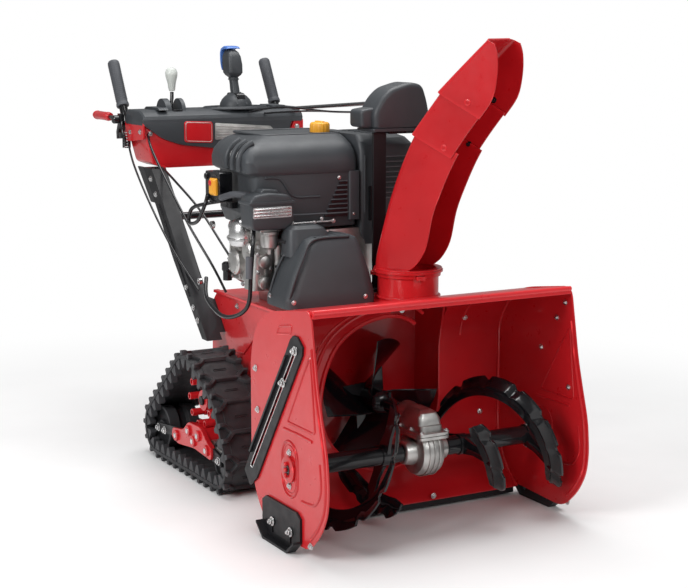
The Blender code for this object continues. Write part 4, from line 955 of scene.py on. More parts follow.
def make_neck():
    """Turning neck: rolled seat for the chute's collar and the clamps that hold it."""
    lo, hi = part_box("chute_neck")
    centre = (CHUTE_POST.x, CHUTE_POST.y)
    lip = ring("z", centre, 0.0835, 0.071, hi.z - 0.010, hi.z, 56)
    foot = ring("z", centre, 0.0835, 0.0775, lo.z, lo.z + 0.005, 56)
    piece("neck_rings", merged(lip, foot), RED, "machine", bevel=0.001)
    clamps = []
    for turn in (20, 140, 260):
        a = radians(turn)
        spot = Vector((centre[0] + 0.086 * cos(a), centre[1] + 0.086 * sin(a), 0))
        frame_of = Matrix.Translation(spot) @ Matrix.Rotation(a, 4, "Z")
        clamps.append(moved(block((-0.004, -0.012, hi.z - 0.012), (0.010, 0.012, hi.z - 0.002), 0.002),
                            frame_of))
    piece("neck_clamps", merged(*clamps), RED, "machine")


# ---------------------------------------------------------------- engine
CRANK = (-0.050, 0.590)


def slab(outline, y_low, y_high, inset=0.006, steps=4):
    """Solid standing across y with softened front and back edges; the outline is (x, z)."""
    cx = sum(p[0] for p in outline) / len(outline)
    cz = sum(p[1] for p in outline) / len(outline)
    sections = []
    depth = min(inset, (y_high - y_low) * 0.4)
    for end, sign in ((y_low, 1), (y_high, -1)):
        order = range(steps + 1) if sign == 1 else range(steps, -1, -1)
        for i in order:
            t = radians(90 * i / steps)
            shrink = inset * (1 - sin(t))
            level = end + sign * depth * (1 - cos(t))
            rim = []
            for x, z in outline:
                out = Vector((x - cx, z - cz))
                rim.append((x - out.x / max(out.length, 1e-6) * shrink, level,
                            z - out.y / max(out.length, 1e-6) * shrink))
            sections.append(rim)
    return loft(sections)


def stacked(levels):
    """Solid through (outline, z) pairs, outlines being (x, y)."""
    return loft([[(x, y, z) for x, y in outline] for outline, z in levels])


def rectangle(x0, x1, y0, y1, radius, taper=0.0):
    """Rounded rectangle whose -X side draws in by taper towards the back."""
    return rounded([(x0, y0), (x1, y0), (x1, y1), (x0 + taper, y1)], radius, 5)


def ring_loop(corners, radius, z, thick):
    """Raised bead along a rounded loop on a level surface."""
    return sweep([(x, y, z) for x, y in rounded(corners, radius, 5)], thick, 8, closed=True)


def stack(*rows):
    """Solid through rounded rectangles: x and y ranges, corner radius, level and optional back taper."""
    return stacked([(rectangle(*row[:5], *row[6:]), row[5]) for row in rows])


def hood_edge(y, front, back):
    """X of the crown's right side, which draws in towards the back."""
    return -0.288 + 0.038 * (y - front) / (back - front)


def make_shroud():
    """Moulded hood: a lower panel with a pressed crease and vents, and an overhanging crown; black blocks
    in the vent slots and side grooves are painted shade.
    """
    lo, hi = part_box("engine_shroud")
    front, back, left = lo.y, hi.y, hi.x
    rim_z, top = 0.843, hi.z
    panel = stack((-0.240, left, front + 0.006, back, 0.028, 0.700, 0.030),
                  (-0.262, left, front + 0.002, back, 0.030, 0.735, 0.037),
                  (-0.262, left, front + 0.002, back, 0.030, rim_z + 0.012, 0.037))
    crown = stack((-0.272, left, front, back, 0.030, rim_z - 0.004, 0.038),
                  (-0.286, left, front - 0.003, back, 0.034, rim_z + 0.004, 0.038),
                  (-0.288, left, front - 0.003, back, 0.036, 0.872, 0.038),
                  (-0.284, left, front + 0.006, back - 0.004, 0.038, 0.892, 0.038),
                  (-0.272, left - 0.001, front + 0.020, back - 0.010, 0.042, 0.909, 0.038),
                  (-0.250, left - 0.003, front + 0.040, back - 0.018, 0.046, 0.922, 0.034),
                  (-0.215, left - 0.006, front + 0.062, back - 0.028, 0.040, top - 0.004, 0.024),
                  (-0.205, left - 0.010, front + 0.070, back - 0.034, 0.034, top, 0.020))
    tray = ring_loop([(-0.198, -0.168), (0.028, -0.168), (0.028, 0.024), (-0.198, 0.024)], 0.020, top,
                     0.0035)
    shapes = [panel, crown, tray]
    crease = flowing([(-0.232, front, 0.833), (-0.189, front, 0.828), (-0.154, front, 0.785),
                      (-0.100, front, 0.780), (-0.075, front, 0.7795)], 4)
    shapes.append(sweep([(x, y + 0.0015, z) for x, y, z in crease], 0.0032, 8))
    shapes.append(sweep([(-0.258, front + 0.004, 0.738), (-0.100, front + 0.002, 0.735),
                         (0.030, front + 0.002, 0.735)], 0.0026, 8))
    shapes.append(block((0.008, front - 0.003, 0.715), (0.0395, front + 0.010, 0.842), 0.006, "z"))
    for y in (-0.205, -0.155, -0.105):
        edge = hood_edge(y, front, back)
        rib = flowing([(edge - 0.001, y, 0.850), (edge - 0.001, y, 0.880), (edge + 0.012, y, 0.905),
                       (edge + 0.036, y, 0.921)], 4)
        shapes.append(sweep(rib, 0.0085, 14))
    piece("hood_moulding", merged(*shapes), PLASTIC, "machine", "engine_shroud", bevel=0.0012, angle=26)
    # Each vent slot is a black block: painted shade for the dark inside of the opening, under a plastic
    # louvre rim.
    slots, frames = [], []
    for k in range(8):
        z = 0.726 + 0.0118 * k
        start = -0.062 + 0.006 * k
        slots.append(block((start, front - 0.0012, z), (0.004, front + 0.004, z + 0.0062), 0.0024, "y"))
        frames.append(sweep([(x, front - 0.0002, z + 0.0082) for x in (start, 0.004)], 0.0014, 8))
    piece("hood_vent_painted_shade", merged(*slots), BLACK, "machine", bevel=0.0004)
    piece("hood_louvres", merged(*frames), PLASTIC, "machine", bevel=0)
    # Black tubes laid in the grooves between the side ribs: painted shade for the dark of the grooves.
    side_slots = []
    for y in (-0.180, -0.130):
        edge = hood_edge(y, front, back)
        groove = flowing([(edge, y, 0.852), (edge, y, 0.880), (edge + 0.012, y, 0.903),
                          (edge + 0.034, y, 0.919)], 4)
        side_slots.append(sweep(groove, 0.0055, 12))
    piece("hood_side_groove_painted_shade", merged(*side_slots), BLACK, "machine", bevel=0.0006)
    spots = ((-0.072, 0.722), (-0.020, 0.826), (-0.232, 0.760), (0.022, 0.730))
    screws = bolts("y", -1, 0.0042, [(x, front - 0.0005, z) for x, z in spots])
    piece("hood_screws", screws, STEEL, "machine", bevel=0.0003)


def make_fuel_cap():
    """Fluted cap with a grip bar, on its filler ring."""
    lo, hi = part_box("fuel_cap")
    cx, cy = (lo.x + hi.x) / 2, (lo.y + hi.y) / 2
    levels = []
    for grow, z in ((0.98, lo.z), (1.0, lo.z + 0.003), (1.0, hi.z - 0.008), (0.94, hi.z - 0.003),
                    (0.80, hi.z)):
        radius = 0.0262 * grow
        levels.append((circle((cx, cy), radius, 72, depth=0.022 * radius, waves=18), z))
    handle = block((cx - 0.0055, cy - 0.020, hi.z - 0.004), (cx + 0.0055, cy + 0.020, hi.z + 0.003), 0.004,
                   "z")
    piece("cap_moulding", merged(stacked(levels), handle), YELLOW, "fuel_cap", "fuel_cap", bevel=0.0008)
    base = lathe([(0.033, lo.z - 0.004), (0.033, lo.z - 0.001), (0.029, lo.z - 0.0004)], "z", (cx, cy), 40)
    piece("filler_ring", base, BLACK, "machine")


def make_block():
    """Finned and ribbed engine castings with their covers, studs and cooling fins."""
    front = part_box("engine_block")[0].y
    case = stack((-0.130, 0.085, -0.236, 0.020, 0.02, 0.4803), (-0.135, 0.085, -0.236, 0.020, 0.02, 0.520),
                 (-0.205, 0.090, -0.240, 0.020, 0.03, 0.545), (-0.210, 0.090, -0.245, 0.020, 0.03, 0.660),
                 (-0.180, 0.085, -0.238, 0.010, 0.03, 0.692))
    shapes = [case]
    for k in range(7):
        z = 0.694 + 0.009 * k
        shapes.append(stack((-0.172, 0.030, -0.205, 0.000, 0.02, z),
                            (-0.172, 0.030, -0.205, 0.000, 0.02, z + 0.0032)))
    shapes.append(stack((-0.155, 0.015, -0.190, -0.015, 0.02, 0.690),
                        (-0.155, 0.015, -0.190, -0.015, 0.02, 0.760)))
    shapes.append(lathe([(0.056, front - 0.002), (0.053, front - 0.010), (0.030, front - 0.012)], "y",
                        CRANK, 40))
    flange = rounded([(-0.232, 0.553), (-0.214, 0.548), (-0.205, 0.690), (-0.226, 0.700)], 0.006)
    shapes.append(prism(flange, "y", -0.238, -0.020))
    for y in (-0.200, -0.150, -0.100, -0.050):
        shapes.append(prism(rounded([(-0.238, 0.560), (-0.200, 0.535), (-0.200, 0.680), (-0.240, 0.668)],
                                    0.008), "y", y, y + 0.006))
    cover = (-0.085, 0.602)
    for y, z, radius in ((*cover, 0.034), (-0.165, 0.640, 0.026), (-0.175, 0.578, 0.020)):
        shapes.append(lathe([(radius, -0.215), (radius, -0.246), (radius * 0.8, -0.251),
                             (radius * 0.4, -0.252)], "x", (y, z), 36))
    shapes.append(stack((-0.262, -0.205, -0.232, -0.170, 0.014, 0.5455),
                        (-0.258, -0.205, -0.236, -0.170, 0.016, 0.640)))
    for x, z in ((-0.232, 0.566), (-0.232, 0.620)):
        shapes.append(lathe([(0.017, -0.230), (0.017, -0.246), (0.010, -0.249)], "y", (x, z), 28))
    piece("engine_castings", merged(*shapes), CAST, "machine", "engine_block", bevel=0.0012, angle=28)
    flange_spots = ((-0.215, 0.560), (-0.215, 0.655), (-0.050, 0.560), (-0.035, 0.660), (-0.120, 0.675),
                    (-0.120, 0.548))
    front_spots = ((-0.250, 0.594), (-0.214, 0.602), (-0.216, 0.652), (-0.250, 0.640))
    cover_spots = circle(cover, 0.026, 6, 0.2)
    studs = merged(bolts("x", -1, 0.0055, [(-0.2375, y, z) for y, z in flange_spots]),
                   bolts("y", -1, 0.0050, [(x, -0.2365, z) for x, z in front_spots]),
                   bolts("x", -1, 0.0032, [(-0.2505, y, z) for y, z in cover_spots]))
    piece("engine_studs", studs, STEEL, "machine", bevel=0.0003)
    plug = [(0.012, 0.548), (0.012, 0.572), (0.015, 0.576), (0.015, 0.592), (0.010, 0.597)]
    piece("oil_plug", lathe(plug, "z", (-0.247, -0.045), 28), BLACK, "machine")


def make_air_side():
    """Choke box with its ribbed face, carburettor bowl, governor rod and breather dome."""
    bowl_axis, dome_axis = (-0.225, -0.252), (-0.246, -0.140)
    box_line = rounded([(-0.292, 0.716), (-0.280, 0.707), (-0.190, 0.707), (-0.173, 0.722), (-0.173, 0.778),
                        (-0.186, 0.794), (-0.240, 0.801), (-0.282, 0.796), (-0.296, 0.780)], 0.010, 4)
    shapes = [slab(box_line, -0.290, -0.225, 0.008),
              slab(rounded([(-0.262, 0.760), (-0.200, 0.760), (-0.206, 0.806), (-0.254, 0.810)], 0.010),
                   -0.270, -0.200, 0.006),
              slab(rounded([(-0.299, 0.772), (-0.171, 0.772), (-0.171, 0.779), (-0.299, 0.779)], 0.003),
                   -0.293, -0.225, 0.003)]
    piece("air_box", merged(*shapes), PLASTIC, "machine", bevel=0.001)
    grille = [sweep(flowing([(-0.286, -0.288, z), (-0.270, -0.2915, z + 0.0008),
                             (-0.235, -0.2925, z + 0.001), (-0.200, -0.2915, z + 0.0008),
                             (-0.182, -0.288, z)], 3), 0.0029, 10) for z in (0.744, 0.752, 0.760)]
    plate = block((-0.288, -0.2905, 0.738), (-0.180, -0.284, 0.766), 0.005, "y")
    piece("air_box_grille", merged(plate, *grille), STEEL, "machine", bevel=0.0005)
    bowl = lathe([(0.012, 0.655), (0.020, 0.660), (0.022, 0.672), (0.022, 0.690), (0.024, 0.692),
                  (0.024, 0.700)], "z", bowl_axis, 32)
    throat = merged(bowl, block((-0.255, -0.262, 0.699), (-0.195, -0.200, 0.716), 0.006, "z"),
                    lathe([(0.005, 0.640), (0.008, 0.644), (0.008, 0.656)], "z", bowl_axis, 6))
    piece("carburettor", throat, CAST, "machine")
    dome = lathe([(0.030, 0.652), (0.035, 0.660), (0.036, 0.688), (0.032, 0.706), (0.022, 0.719),
                  (0.008, 0.725)], "z", dome_axis, 40)
    spout = sweep(flowing([(-0.246, -0.105, 0.690), (-0.246, -0.075, 0.692), (-0.235, -0.055, 0.700)], 4),
                  0.010, 14)
    collar = ring("z", dome_axis, 0.039, 0.034, 0.666, 0.672, 40)
    piece("breather_dome", merged(dome, spout, collar), STEEL, "machine")
    rod_line = sweep([(-0.168, -0.2565, 0.7155), (-0.110, -0.2565, 0.716), (-0.044, -0.2565, 0.7165)],
                     0.0028, 10)
    lever = prism(rounded([(-0.176, 0.724), (-0.160, 0.724), (-0.158, 0.700), (-0.174, 0.698)], 0.004), "y",
                  -0.262, -0.2585)
    ends = merged(bolt((-0.168, -0.262, 0.7155), "y", -1, 0.0046),
                  bolt((-0.044, -0.2585, 0.7165), "y", -1, 0.0046),
                  bolt((-0.100, -0.2585, 0.716), "y", -1, 0.0036))
    piece("governor_rod", merged(rod_line, lever, ends), STEEL, "machine", bevel=0.0003)
    hook = sweep(flowing([(-0.202, -0.300, 0.676), (-0.180, -0.303, 0.684), (-0.150, -0.303, 0.682),
                          (-0.150, -0.302, 0.640), (-0.163, -0.301, 0.612), (-0.190, -0.300, 0.606)], 4),
                 0.0050, 10)
    arms = [sweep([(-0.202, -0.300, 0.676), (-0.205, -0.240, 0.676)], 0.0045, 10),
            sweep([(-0.190, -0.300, 0.606), (-0.200, -0.240, 0.606)], 0.0045, 10)]
    piece("guard_loop", merged(hook, *arms), BLACK, "machine", bevel=0)


def make_belt_cover():
    """Pulleys' cover: a shell that widens downwards, a lobe beside it, a raised lip and roof ribs."""
    lo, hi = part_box("belt_cover")
    bottom, top, back = lo.z, hi.z, hi.y
    rows = ((lo.x - 0.002, hi.x + 0.018, lo.y - 0.003, 0.014, bottom - 0.009),
            (lo.x - 0.002, hi.x + 0.018, lo.y - 0.003, 0.016, bottom + 0.012),
            (lo.x + 0.006, hi.x + 0.016, lo.y + 0.001, 0.015, bottom + 0.030),
            (-0.222, hi.x + 0.009, -0.386, 0.012, 0.600), (-0.196, hi.x - 0.002, -0.374, 0.006, 0.645),
            (-0.176, hi.x - 0.009, -0.362, 0.002, 0.672), (-0.166, hi.x - 0.013, -0.352, 0.0, 0.684),
            (-0.150, hi.x - 0.022, -0.338, 0.0, top))
    levels = []
    for x0, x1, y0, bulge, z in rows:
        levels.append((rounded([(x0, y0), (x1, y0), (x1 + bulge, -0.325), (x1 + bulge, back), (x0, back)],
                               0.030), z))
    shell = stacked(levels)
    lobe = stack((-0.205, -0.080, -0.330, back, 0.024, 0.640), (-0.203, -0.085, -0.326, back, 0.024, 0.690),
                 (-0.198, -0.095, -0.318, back - 0.004, 0.022, 0.708),
                 (-0.186, -0.110, -0.306, back - 0.012, 0.018, 0.716))
    lip = sweep(flowing([(-0.238, -0.388, 0.548), (-0.218, -0.386, 0.602), (-0.192, -0.376, 0.648),
                         (-0.168, -0.360, 0.678), (-0.130, -0.352, 0.688), (-0.050, -0.352, 0.688)], 4),
                0.0036, 10)
    side_rib = sweep(flowing([(-0.2465, -0.290, 0.540), (-0.226, -0.290, 0.602), (-0.199, -0.290, 0.650)],
                             4), 0.0034, 10)
    shapes = [shell, lobe, lip, side_rib]
    for k in range(5):
        x = -0.140 + 0.022 * k
        shapes.append(sweep([(x, -0.345, top - 0.0005), (x, back + 0.012, top - 0.0005)], 0.0018, 8))
    piece("belt_cover_moulding", merged(*shapes), PLASTIC, "machine", "belt_cover", bevel=0.0008, angle=26)
    screws = merged(bolt((-0.232, -0.4005, 0.540), "y", -1, 0.0050),
                    bolt((-0.030, -0.4005, 0.540), "y", -1, 0.0050),
                    bolt((-0.2475, -0.300, 0.545), "x", -1, 0.0050))
    piece("belt_cover_screws", screws, STEEL, "machine", bevel=0.0003)


def make_exhaust_guard():
    """Rounded guard with pierced slits over the exhaust; black blocks in the slits are painted shade."""
    lo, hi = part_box("muffler_cover")
    left, right, front, back = hi.x, lo.x, lo.y, hi.y
    wide = [(0.0945, left, front, back, 0.024, lo.z), (0.0945, left, front, back, 0.024, 0.880),
            (0.0945, left - 0.004, front + 0.006, back - 0.006, 0.026, 0.905),
            (0.096, left - 0.016, front + 0.020, back - 0.018, 0.030, 0.922),
            (0.100, left - 0.034, front + 0.040, back - 0.034, 0.030, hi.z)]
    narrow = [(right + 0.010, 0.100, front - 0.001, -0.200, 0.014, 0.648),
              (right + 0.002, 0.100, front - 0.001, -0.200, 0.014, 0.668),
              (right + 0.002, 0.100, front - 0.001, -0.200, 0.014, 0.7095),
              (right + 0.002, 0.100, front - 0.001, back, 0.014, 0.7105),
              (right + 0.002, 0.100, front - 0.001, back, 0.014, 0.890),
              (right + 0.003, 0.098, front + 0.010, back - 0.010, 0.014, 0.915),
              (right + 0.006, 0.096, front + 0.030, back - 0.030, 0.014, hi.z + 0.002)]
    shapes = [stack(*wide), stack(*narrow)]
    for k in range(6):
        y = front + 0.055 + 0.032 * k
        shapes.append(sweep([(0.108, y, hi.z + 0.0005), (left - 0.040, y, hi.z + 0.0005)], 0.0022, 8))
    shapes.append(sweep([(0.055, front - 0.001, 0.730), (0.055, front - 0.001, 0.880)], 0.0026, 8))
    piece("exhaust_guard", merged(*shapes), PLASTIC, "machine", "muffler_cover", bevel=0.001, angle=26)
    # Black blocks in the pierced slits: painted shade for the dark inside of the openings.
    slits = [block((0.066, front - 0.0022, 0.709), (0.078, front + 0.004, 0.800), 0.005, "y")]
    for k in range(8):
        z = 0.770 + 0.0135 * k
        slits.append(block((0.118, front - 0.0014, z), (0.196, front + 0.004, z + 0.0068), 0.0028, "y"))
        slits.append(block((left - 0.004, front + 0.045, z), (left + 0.0014, back - 0.045, z + 0.0068),
                           0.0028, "x"))
    piece("exhaust_slit_painted_shade", merged(*slits), BLACK, "machine", bevel=0.0004)
    rims = [sweep([(0.118, front - 0.0004, 0.7665 + 0.0135 * k),
                   (0.196, front - 0.0004, 0.7665 + 0.0135 * k)], 0.0015, 8) for k in range(9)]
    piece("exhaust_louvres", merged(*rims), PLASTIC, "machine", bevel=0)


def make_switch():
    """Key box with its lit rocker, mounting bracket and red emergency button."""
    corners = [(-0.120, 0.762), (-0.030, 0.762), (-0.030, 0.840), (-0.120, 0.840)]
    case = loft([[(x, y, z) for y, z in rounded(corners, radius)]
                 for x, radius in ((-0.2645, 0.006), (-0.294, 0.006), (-0.300, 0.009))])
    pivot = anchor("engine_switch_turn")
    bezel = sweep([(-0.3002, y, z) for y, z in circle((pivot.y, pivot.z), 0.0312, 36)], 0.0016, 8,
                  closed=True)
    bracket = block((-0.2645, -0.110, 0.745), (-0.1605, -0.040, 0.760), 0.006, "z")
    lugs = merged(lathe([(0.008, -0.3004), (0.008, -0.306), (0.005, -0.3075)], "x", (-0.042, 0.826), 24),
                  lathe([(0.006, -0.3004), (0.006, -0.305)], "x", (-0.044, 0.772), 20))
    piece("switch_case", merged(case, bezel, bracket, lugs), BLACK, "machine", "switch_box")
    s_lo, s_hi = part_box("engine_switch")
    base = [(-0.108, 0.780), (-0.072, 0.780), (-0.072, 0.824), (-0.108, 0.824)]
    top = [(-0.104, 0.786), (-0.078, 0.784), (-0.078, 0.818), (-0.104, 0.820)]
    rocker = loft([[(x, y, z) for y, z in rounded(line, 0.004)]
                   for x, line in ((s_hi.x, base), (s_hi.x - 0.006, base), (s_lo.x, top))])
    piece("rocker_moulding", rocker, YELLOW, "engine_switch", "engine_switch")
    cap = lathe([(0.0075, s_lo.x + 0.002), (0.0075, s_lo.x - 0.0015), (0.005, s_lo.x - 0.003)], "x",
                (-0.086, 0.812), 24)
    piece("rocker_button", cap, RED, "engine_switch")


def make_starter():
    """Recoil housing at the back with cooling slots, and its pull handle."""
    cover = lathe([(0.102, 0.018), (0.108, 0.024), (0.108, 0.052), (0.100, 0.066), (0.078, 0.076),
                   (0.040, 0.080), (0.012, 0.080)], "y", CRANK, 60)
    piece("recoil_cover", cover, BLACK, "machine", angle=24)
    slot = loft([[(-0.0035, a, z), (0.0035, a, z), (0.0035, b, z), (-0.0035, b, z)]
                 for z, a, b in ((0.050, 0.066, 0.0805), (0.086, 0.064, 0.0745))])
    hub = Matrix.Translation((CRANK[0], 0, CRANK[1]))
    slots = [moved(slot, hub @ Matrix.Rotation(radians(18 * k), 4, "Y")) for k in range(20)]
    piece("recoil_slots", merged(*slots), PLASTIC, "machine", bevel=0.0005)
    lo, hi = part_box("recoil_handle")
    middle = (lo.x + hi.x) / 2
    y = hi.y - 0.008
    grip = sweep([(lo.x, y, 0.640), (lo.x + 0.004, y, 0.640), (lo.x + 0.02, y, 0.640), (middle, y, 0.6405),
                  (hi.x - 0.02, y, 0.640), (hi.x - 0.004, y, 0.640), (hi.x, y, 0.640)],
                 [0.004, 0.0072, 0.0078, 0.0070, 0.0078, 0.0072, 0.004], 16)
    stem = lathe([(0.0045, lo.y), (0.0045, y)], "y", (middle, 0.640), 12)
    piece("recoil_grip", merged(grip, stem), GRIP, "recoil_handle", "recoil_handle")


# ---------------------------------------------------------------- handle, console and controls
def make_console_body():
    """Red sheet body of the console with its rolled flanges, ears and bolts."""
    lo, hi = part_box("handle_plate")
    trough = rounded([(-0.258, 0.924), (-0.228, 0.812), (-0.190, 0.7985), (0.190, 0.7985), (0.228, 0.812),
                      (0.258, 0.924)], 0.010)
    path = [(x, lo.y + 0.001, z) for x, z in ((0.2565, 0.923), (0.2275, 0.814), (0.190, 0.800))]
    flanges = twin_bars(path, 0.0042, 10)
    ear = prism(rounded([(0.497, 0.884), (0.640, 0.870), (0.640, 0.932), (0.497, 0.932)], 0.010), "x",
                0.256, 0.2605)
    tab = prism(rounded([(0.214, 0.884), (0.257, 0.884), (0.261, 0.930), (0.232, 0.932)], 0.006), "y",
                0.498, 0.5045)
    body = merged(slab(trough, lo.y, hi.y, 0.003), flanges, doubled(ear), tab)
    piece("console_body", body, RED, "machine", "handle_plate", bevel=0.001)
    heads = merged(doubled(bolts("x", 1, 0.0062, ((0.2608, 0.520, 0.905), (0.2608, 0.600, 0.900)))),
                   bolt((0.240, 0.4978, 0.908), "y", -1, 0.0062),
                   bolt((-0.236, 0.503, 0.900), "y", -1, 0.0055))
    piece("console_bolts", heads, STEEL, "machine", bevel=0.0003)


def make_dash():
    """Dark dash moulding with the joystick's oval, the speed lever's gate and a blank badge."""
    lo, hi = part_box("dash_panel")
    side = [(0.496, 0.9243), (0.494, 0.940), (0.499, 0.950), (0.514, 0.959), (0.534, 0.966), (0.628, 0.966),
            (0.638, 0.960), (0.641, 0.9243)]
    sections = []
    for share, inset in ((0.0, 0.010), (0.006, 0.003), (0.016, 0.0), (0.984, 0.0), (0.994, 0.003),
                         (1.0, 0.010)):
        x = lo.x + (hi.x - lo.x) * share
        sections.append([(x, y + (inset if y < 0.55 else -inset), z - (inset if z > 0.93 else 0))
                         for y, z in side])
    band = rounded([(-0.262, 0.945), (-0.258, 0.925), (-0.200, 0.884), (-0.140, 0.864), (-0.038, 0.852),
                    (0.140, 0.845), (0.196, 0.858), (0.212, 0.890), (0.224, 0.932), (0.224, 0.945)], 0.016,
                   4)
    shapes = [loft(sections), slab(band, 0.4955, 0.5045, 0.004)]
    oval = [(0.065 + 0.098 * cos(radians(9 * i)), 0.566 + 0.058 * sin(radians(9 * i)), 0.9665)
            for i in range(40)]
    shapes.append(sweep(oval, 0.0045, 10, closed=True))
    shapes.append(sweep([(0.065 + (x - 0.065) * 1.12, 0.566 + (y - 0.566) * 1.1, z - 0.002)
                         for x, y, z in oval], 0.0030, 8, closed=True))
    gate = arc((0.566, 0.958), 0.040, 0, 180, 14)
    shapes.append(prism(gate, "x", -0.1750, -0.1570))
    shapes.append(prism(gate, "x", -0.1235, -0.1120))
    shapes.append(prism(rounded([(0.506, 0.966), (0.626, 0.966), (0.612, 0.9735), (0.520, 0.9735)], 0.004),
                        "x", -0.205, -0.176))
    shapes.append(block((0.170, 0.520, 0.9655), (0.215, 0.620, 0.9715), 0.012, "z"))
    piece("dash_moulding", merged(*shapes), PLASTIC, "machine", "dash_panel", bevel=0.0010, angle=28)
    badge = slab(rounded([(-0.133, 0.872), (-0.042, 0.867), (-0.042, 0.930), (-0.133, 0.934)], 0.010),
                 0.4915, 0.4965, 0.0025)
    piece("badge_plate", badge, RED, "machine")
    border = rounded([(-0.129, 0.876), (-0.046, 0.871), (-0.046, 0.926), (-0.129, 0.930)], 0.008)
    edge = sweep([(x, 0.4918, z) for x, z in border], 0.0011, 6, closed=True)
    stripe = slab(rounded([(-0.034, 0.876), (0.148, 0.884), (0.160, 0.900), (0.148, 0.912),
                           (-0.034, 0.926)], 0.005), 0.4935, 0.4965, 0.001)
    ridges = [sweep([(-0.030, 0.4932, 0.9005 + k * 0.0080),
                     (0.146 - abs(k) * 0.004, 0.4932, 0.8985 + k * 0.0042)], 0.0016, 8)
              for k in (-2, -1, 0, 1, 2)]
    piece("badge_trim", merged(edge, stripe, *ridges), CAST, "machine", bevel=0.0003)
    # Black strip between the gate's walls: painted shade for the dark inside of the lever's slot.
    gate_shade_block = block((-0.1555, 0.520, 0.957), (-0.1245, 0.624, 0.9665), 0.006, "z")
    piece("gate_painted_shade", gate_shade_block, BLACK, "machine")


def make_stick():
    """Joystick: slotted dome with a black block of painted shade in its slot, waisted grip and the blue
    trigger that wraps its head.
    """
    x, y, z = anchor("joystick_side")
    dome = lathe([(0.050, z + 0.001), (0.0500, z + 0.006), (0.0475, z + 0.018), (0.042, z + 0.029),
                  (0.033, z + 0.0385), (0.022, z + 0.0455), (0.010, z + 0.0492)], "z", (x, y), 48)
    collar = ring("z", (x, y), 0.056, 0.0495, z + 0.001, z + 0.0065, 48)
    hoop = ((-0.046, 0.014), (-0.030, 0.036), (0.0, 0.0485), (0.030, 0.036), (0.046, 0.014))
    walls = [sweep([(side, y + back, z + rise) for back, rise in hoop], 0.0024, 8)
             for side in (x - 0.0155, x + 0.0155)]
    piece("joystick_dome_moulding", merged(dome, collar, *walls), PLASTIC, "joystick_dome", "joystick_dome",
          bevel=0.0006, angle=28)
    # Black block in the dome's slot: painted shade for the dark inside of the opening.
    slit = block((x - 0.0125, y - 0.040, z + 0.010), (x + 0.0125, y + 0.040, z + 0.0485), 0.016, "x")
    piece("joystick_slot_painted_shade", slit, BLACK, "joystick_dome", bevel=0.0006)
    sections = []
    for rise, half_x, half_y, back in ((0.030, 0.0118, 0.0130, 0.000), (0.055, 0.0125, 0.0145, 0.006),
                                       (0.080, 0.0120, 0.0135, 0.013), (0.094, 0.0130, 0.0145, 0.017),
                                       (0.101, 0.0200, 0.0220, 0.018), (0.108, 0.0235, 0.0265, 0.019),
                                       (0.132, 0.0235, 0.0285, 0.022), (0.156, 0.0215, 0.0265, 0.027),
                                       (0.168, 0.0180, 0.0220, 0.030), (0.176, 0.0110, 0.0140, 0.032)):
        outline = rounded([(x - half_x, y + back - half_y), (x + half_x, y + back - half_y),
                           (x + half_x, y + back + half_y), (x - half_x, y + back + half_y)], 0.011)
        sections.append([(a, b, z + rise) for a, b in outline])
    cuff = ring("z", (x, y + 0.015), 0.0165, 0.010, z + 0.0865, z + 0.0905, 32)
    piece("joystick_grip", merged(loft(sections), cuff), PLASTIC, "joystick", "joystick", bevel=0.0006,
          angle=30)
    line = [(0.051, 0.112), (0.058, 0.112), (0.064, 0.135), (0.065, 0.165), (0.058, 0.181), (0.040, 0.188),
            (0.016, 0.186), (0.010, 0.1795), (0.040, 0.180), (0.054, 0.172), (0.0575, 0.155)]
    sections = []
    for across, shrink in ((-0.0215, 0.80), (-0.0190, 0.95), (-0.009, 1.0), (0.009, 1.0), (0.0190, 0.95),
                           (0.0215, 0.80)):
        sections.append([(x + across, y + 0.050 + (b - 0.050) * (0.9 + 0.1 * shrink),
                          z + 0.172 + (r - 0.172) * shrink) for b, r in rounded(line, 0.004, 2)])
    piece("joystick_trigger_moulding", loft(sections), BLUE, "joystick_trigger", "joystick_trigger",
          bevel=0.0006)


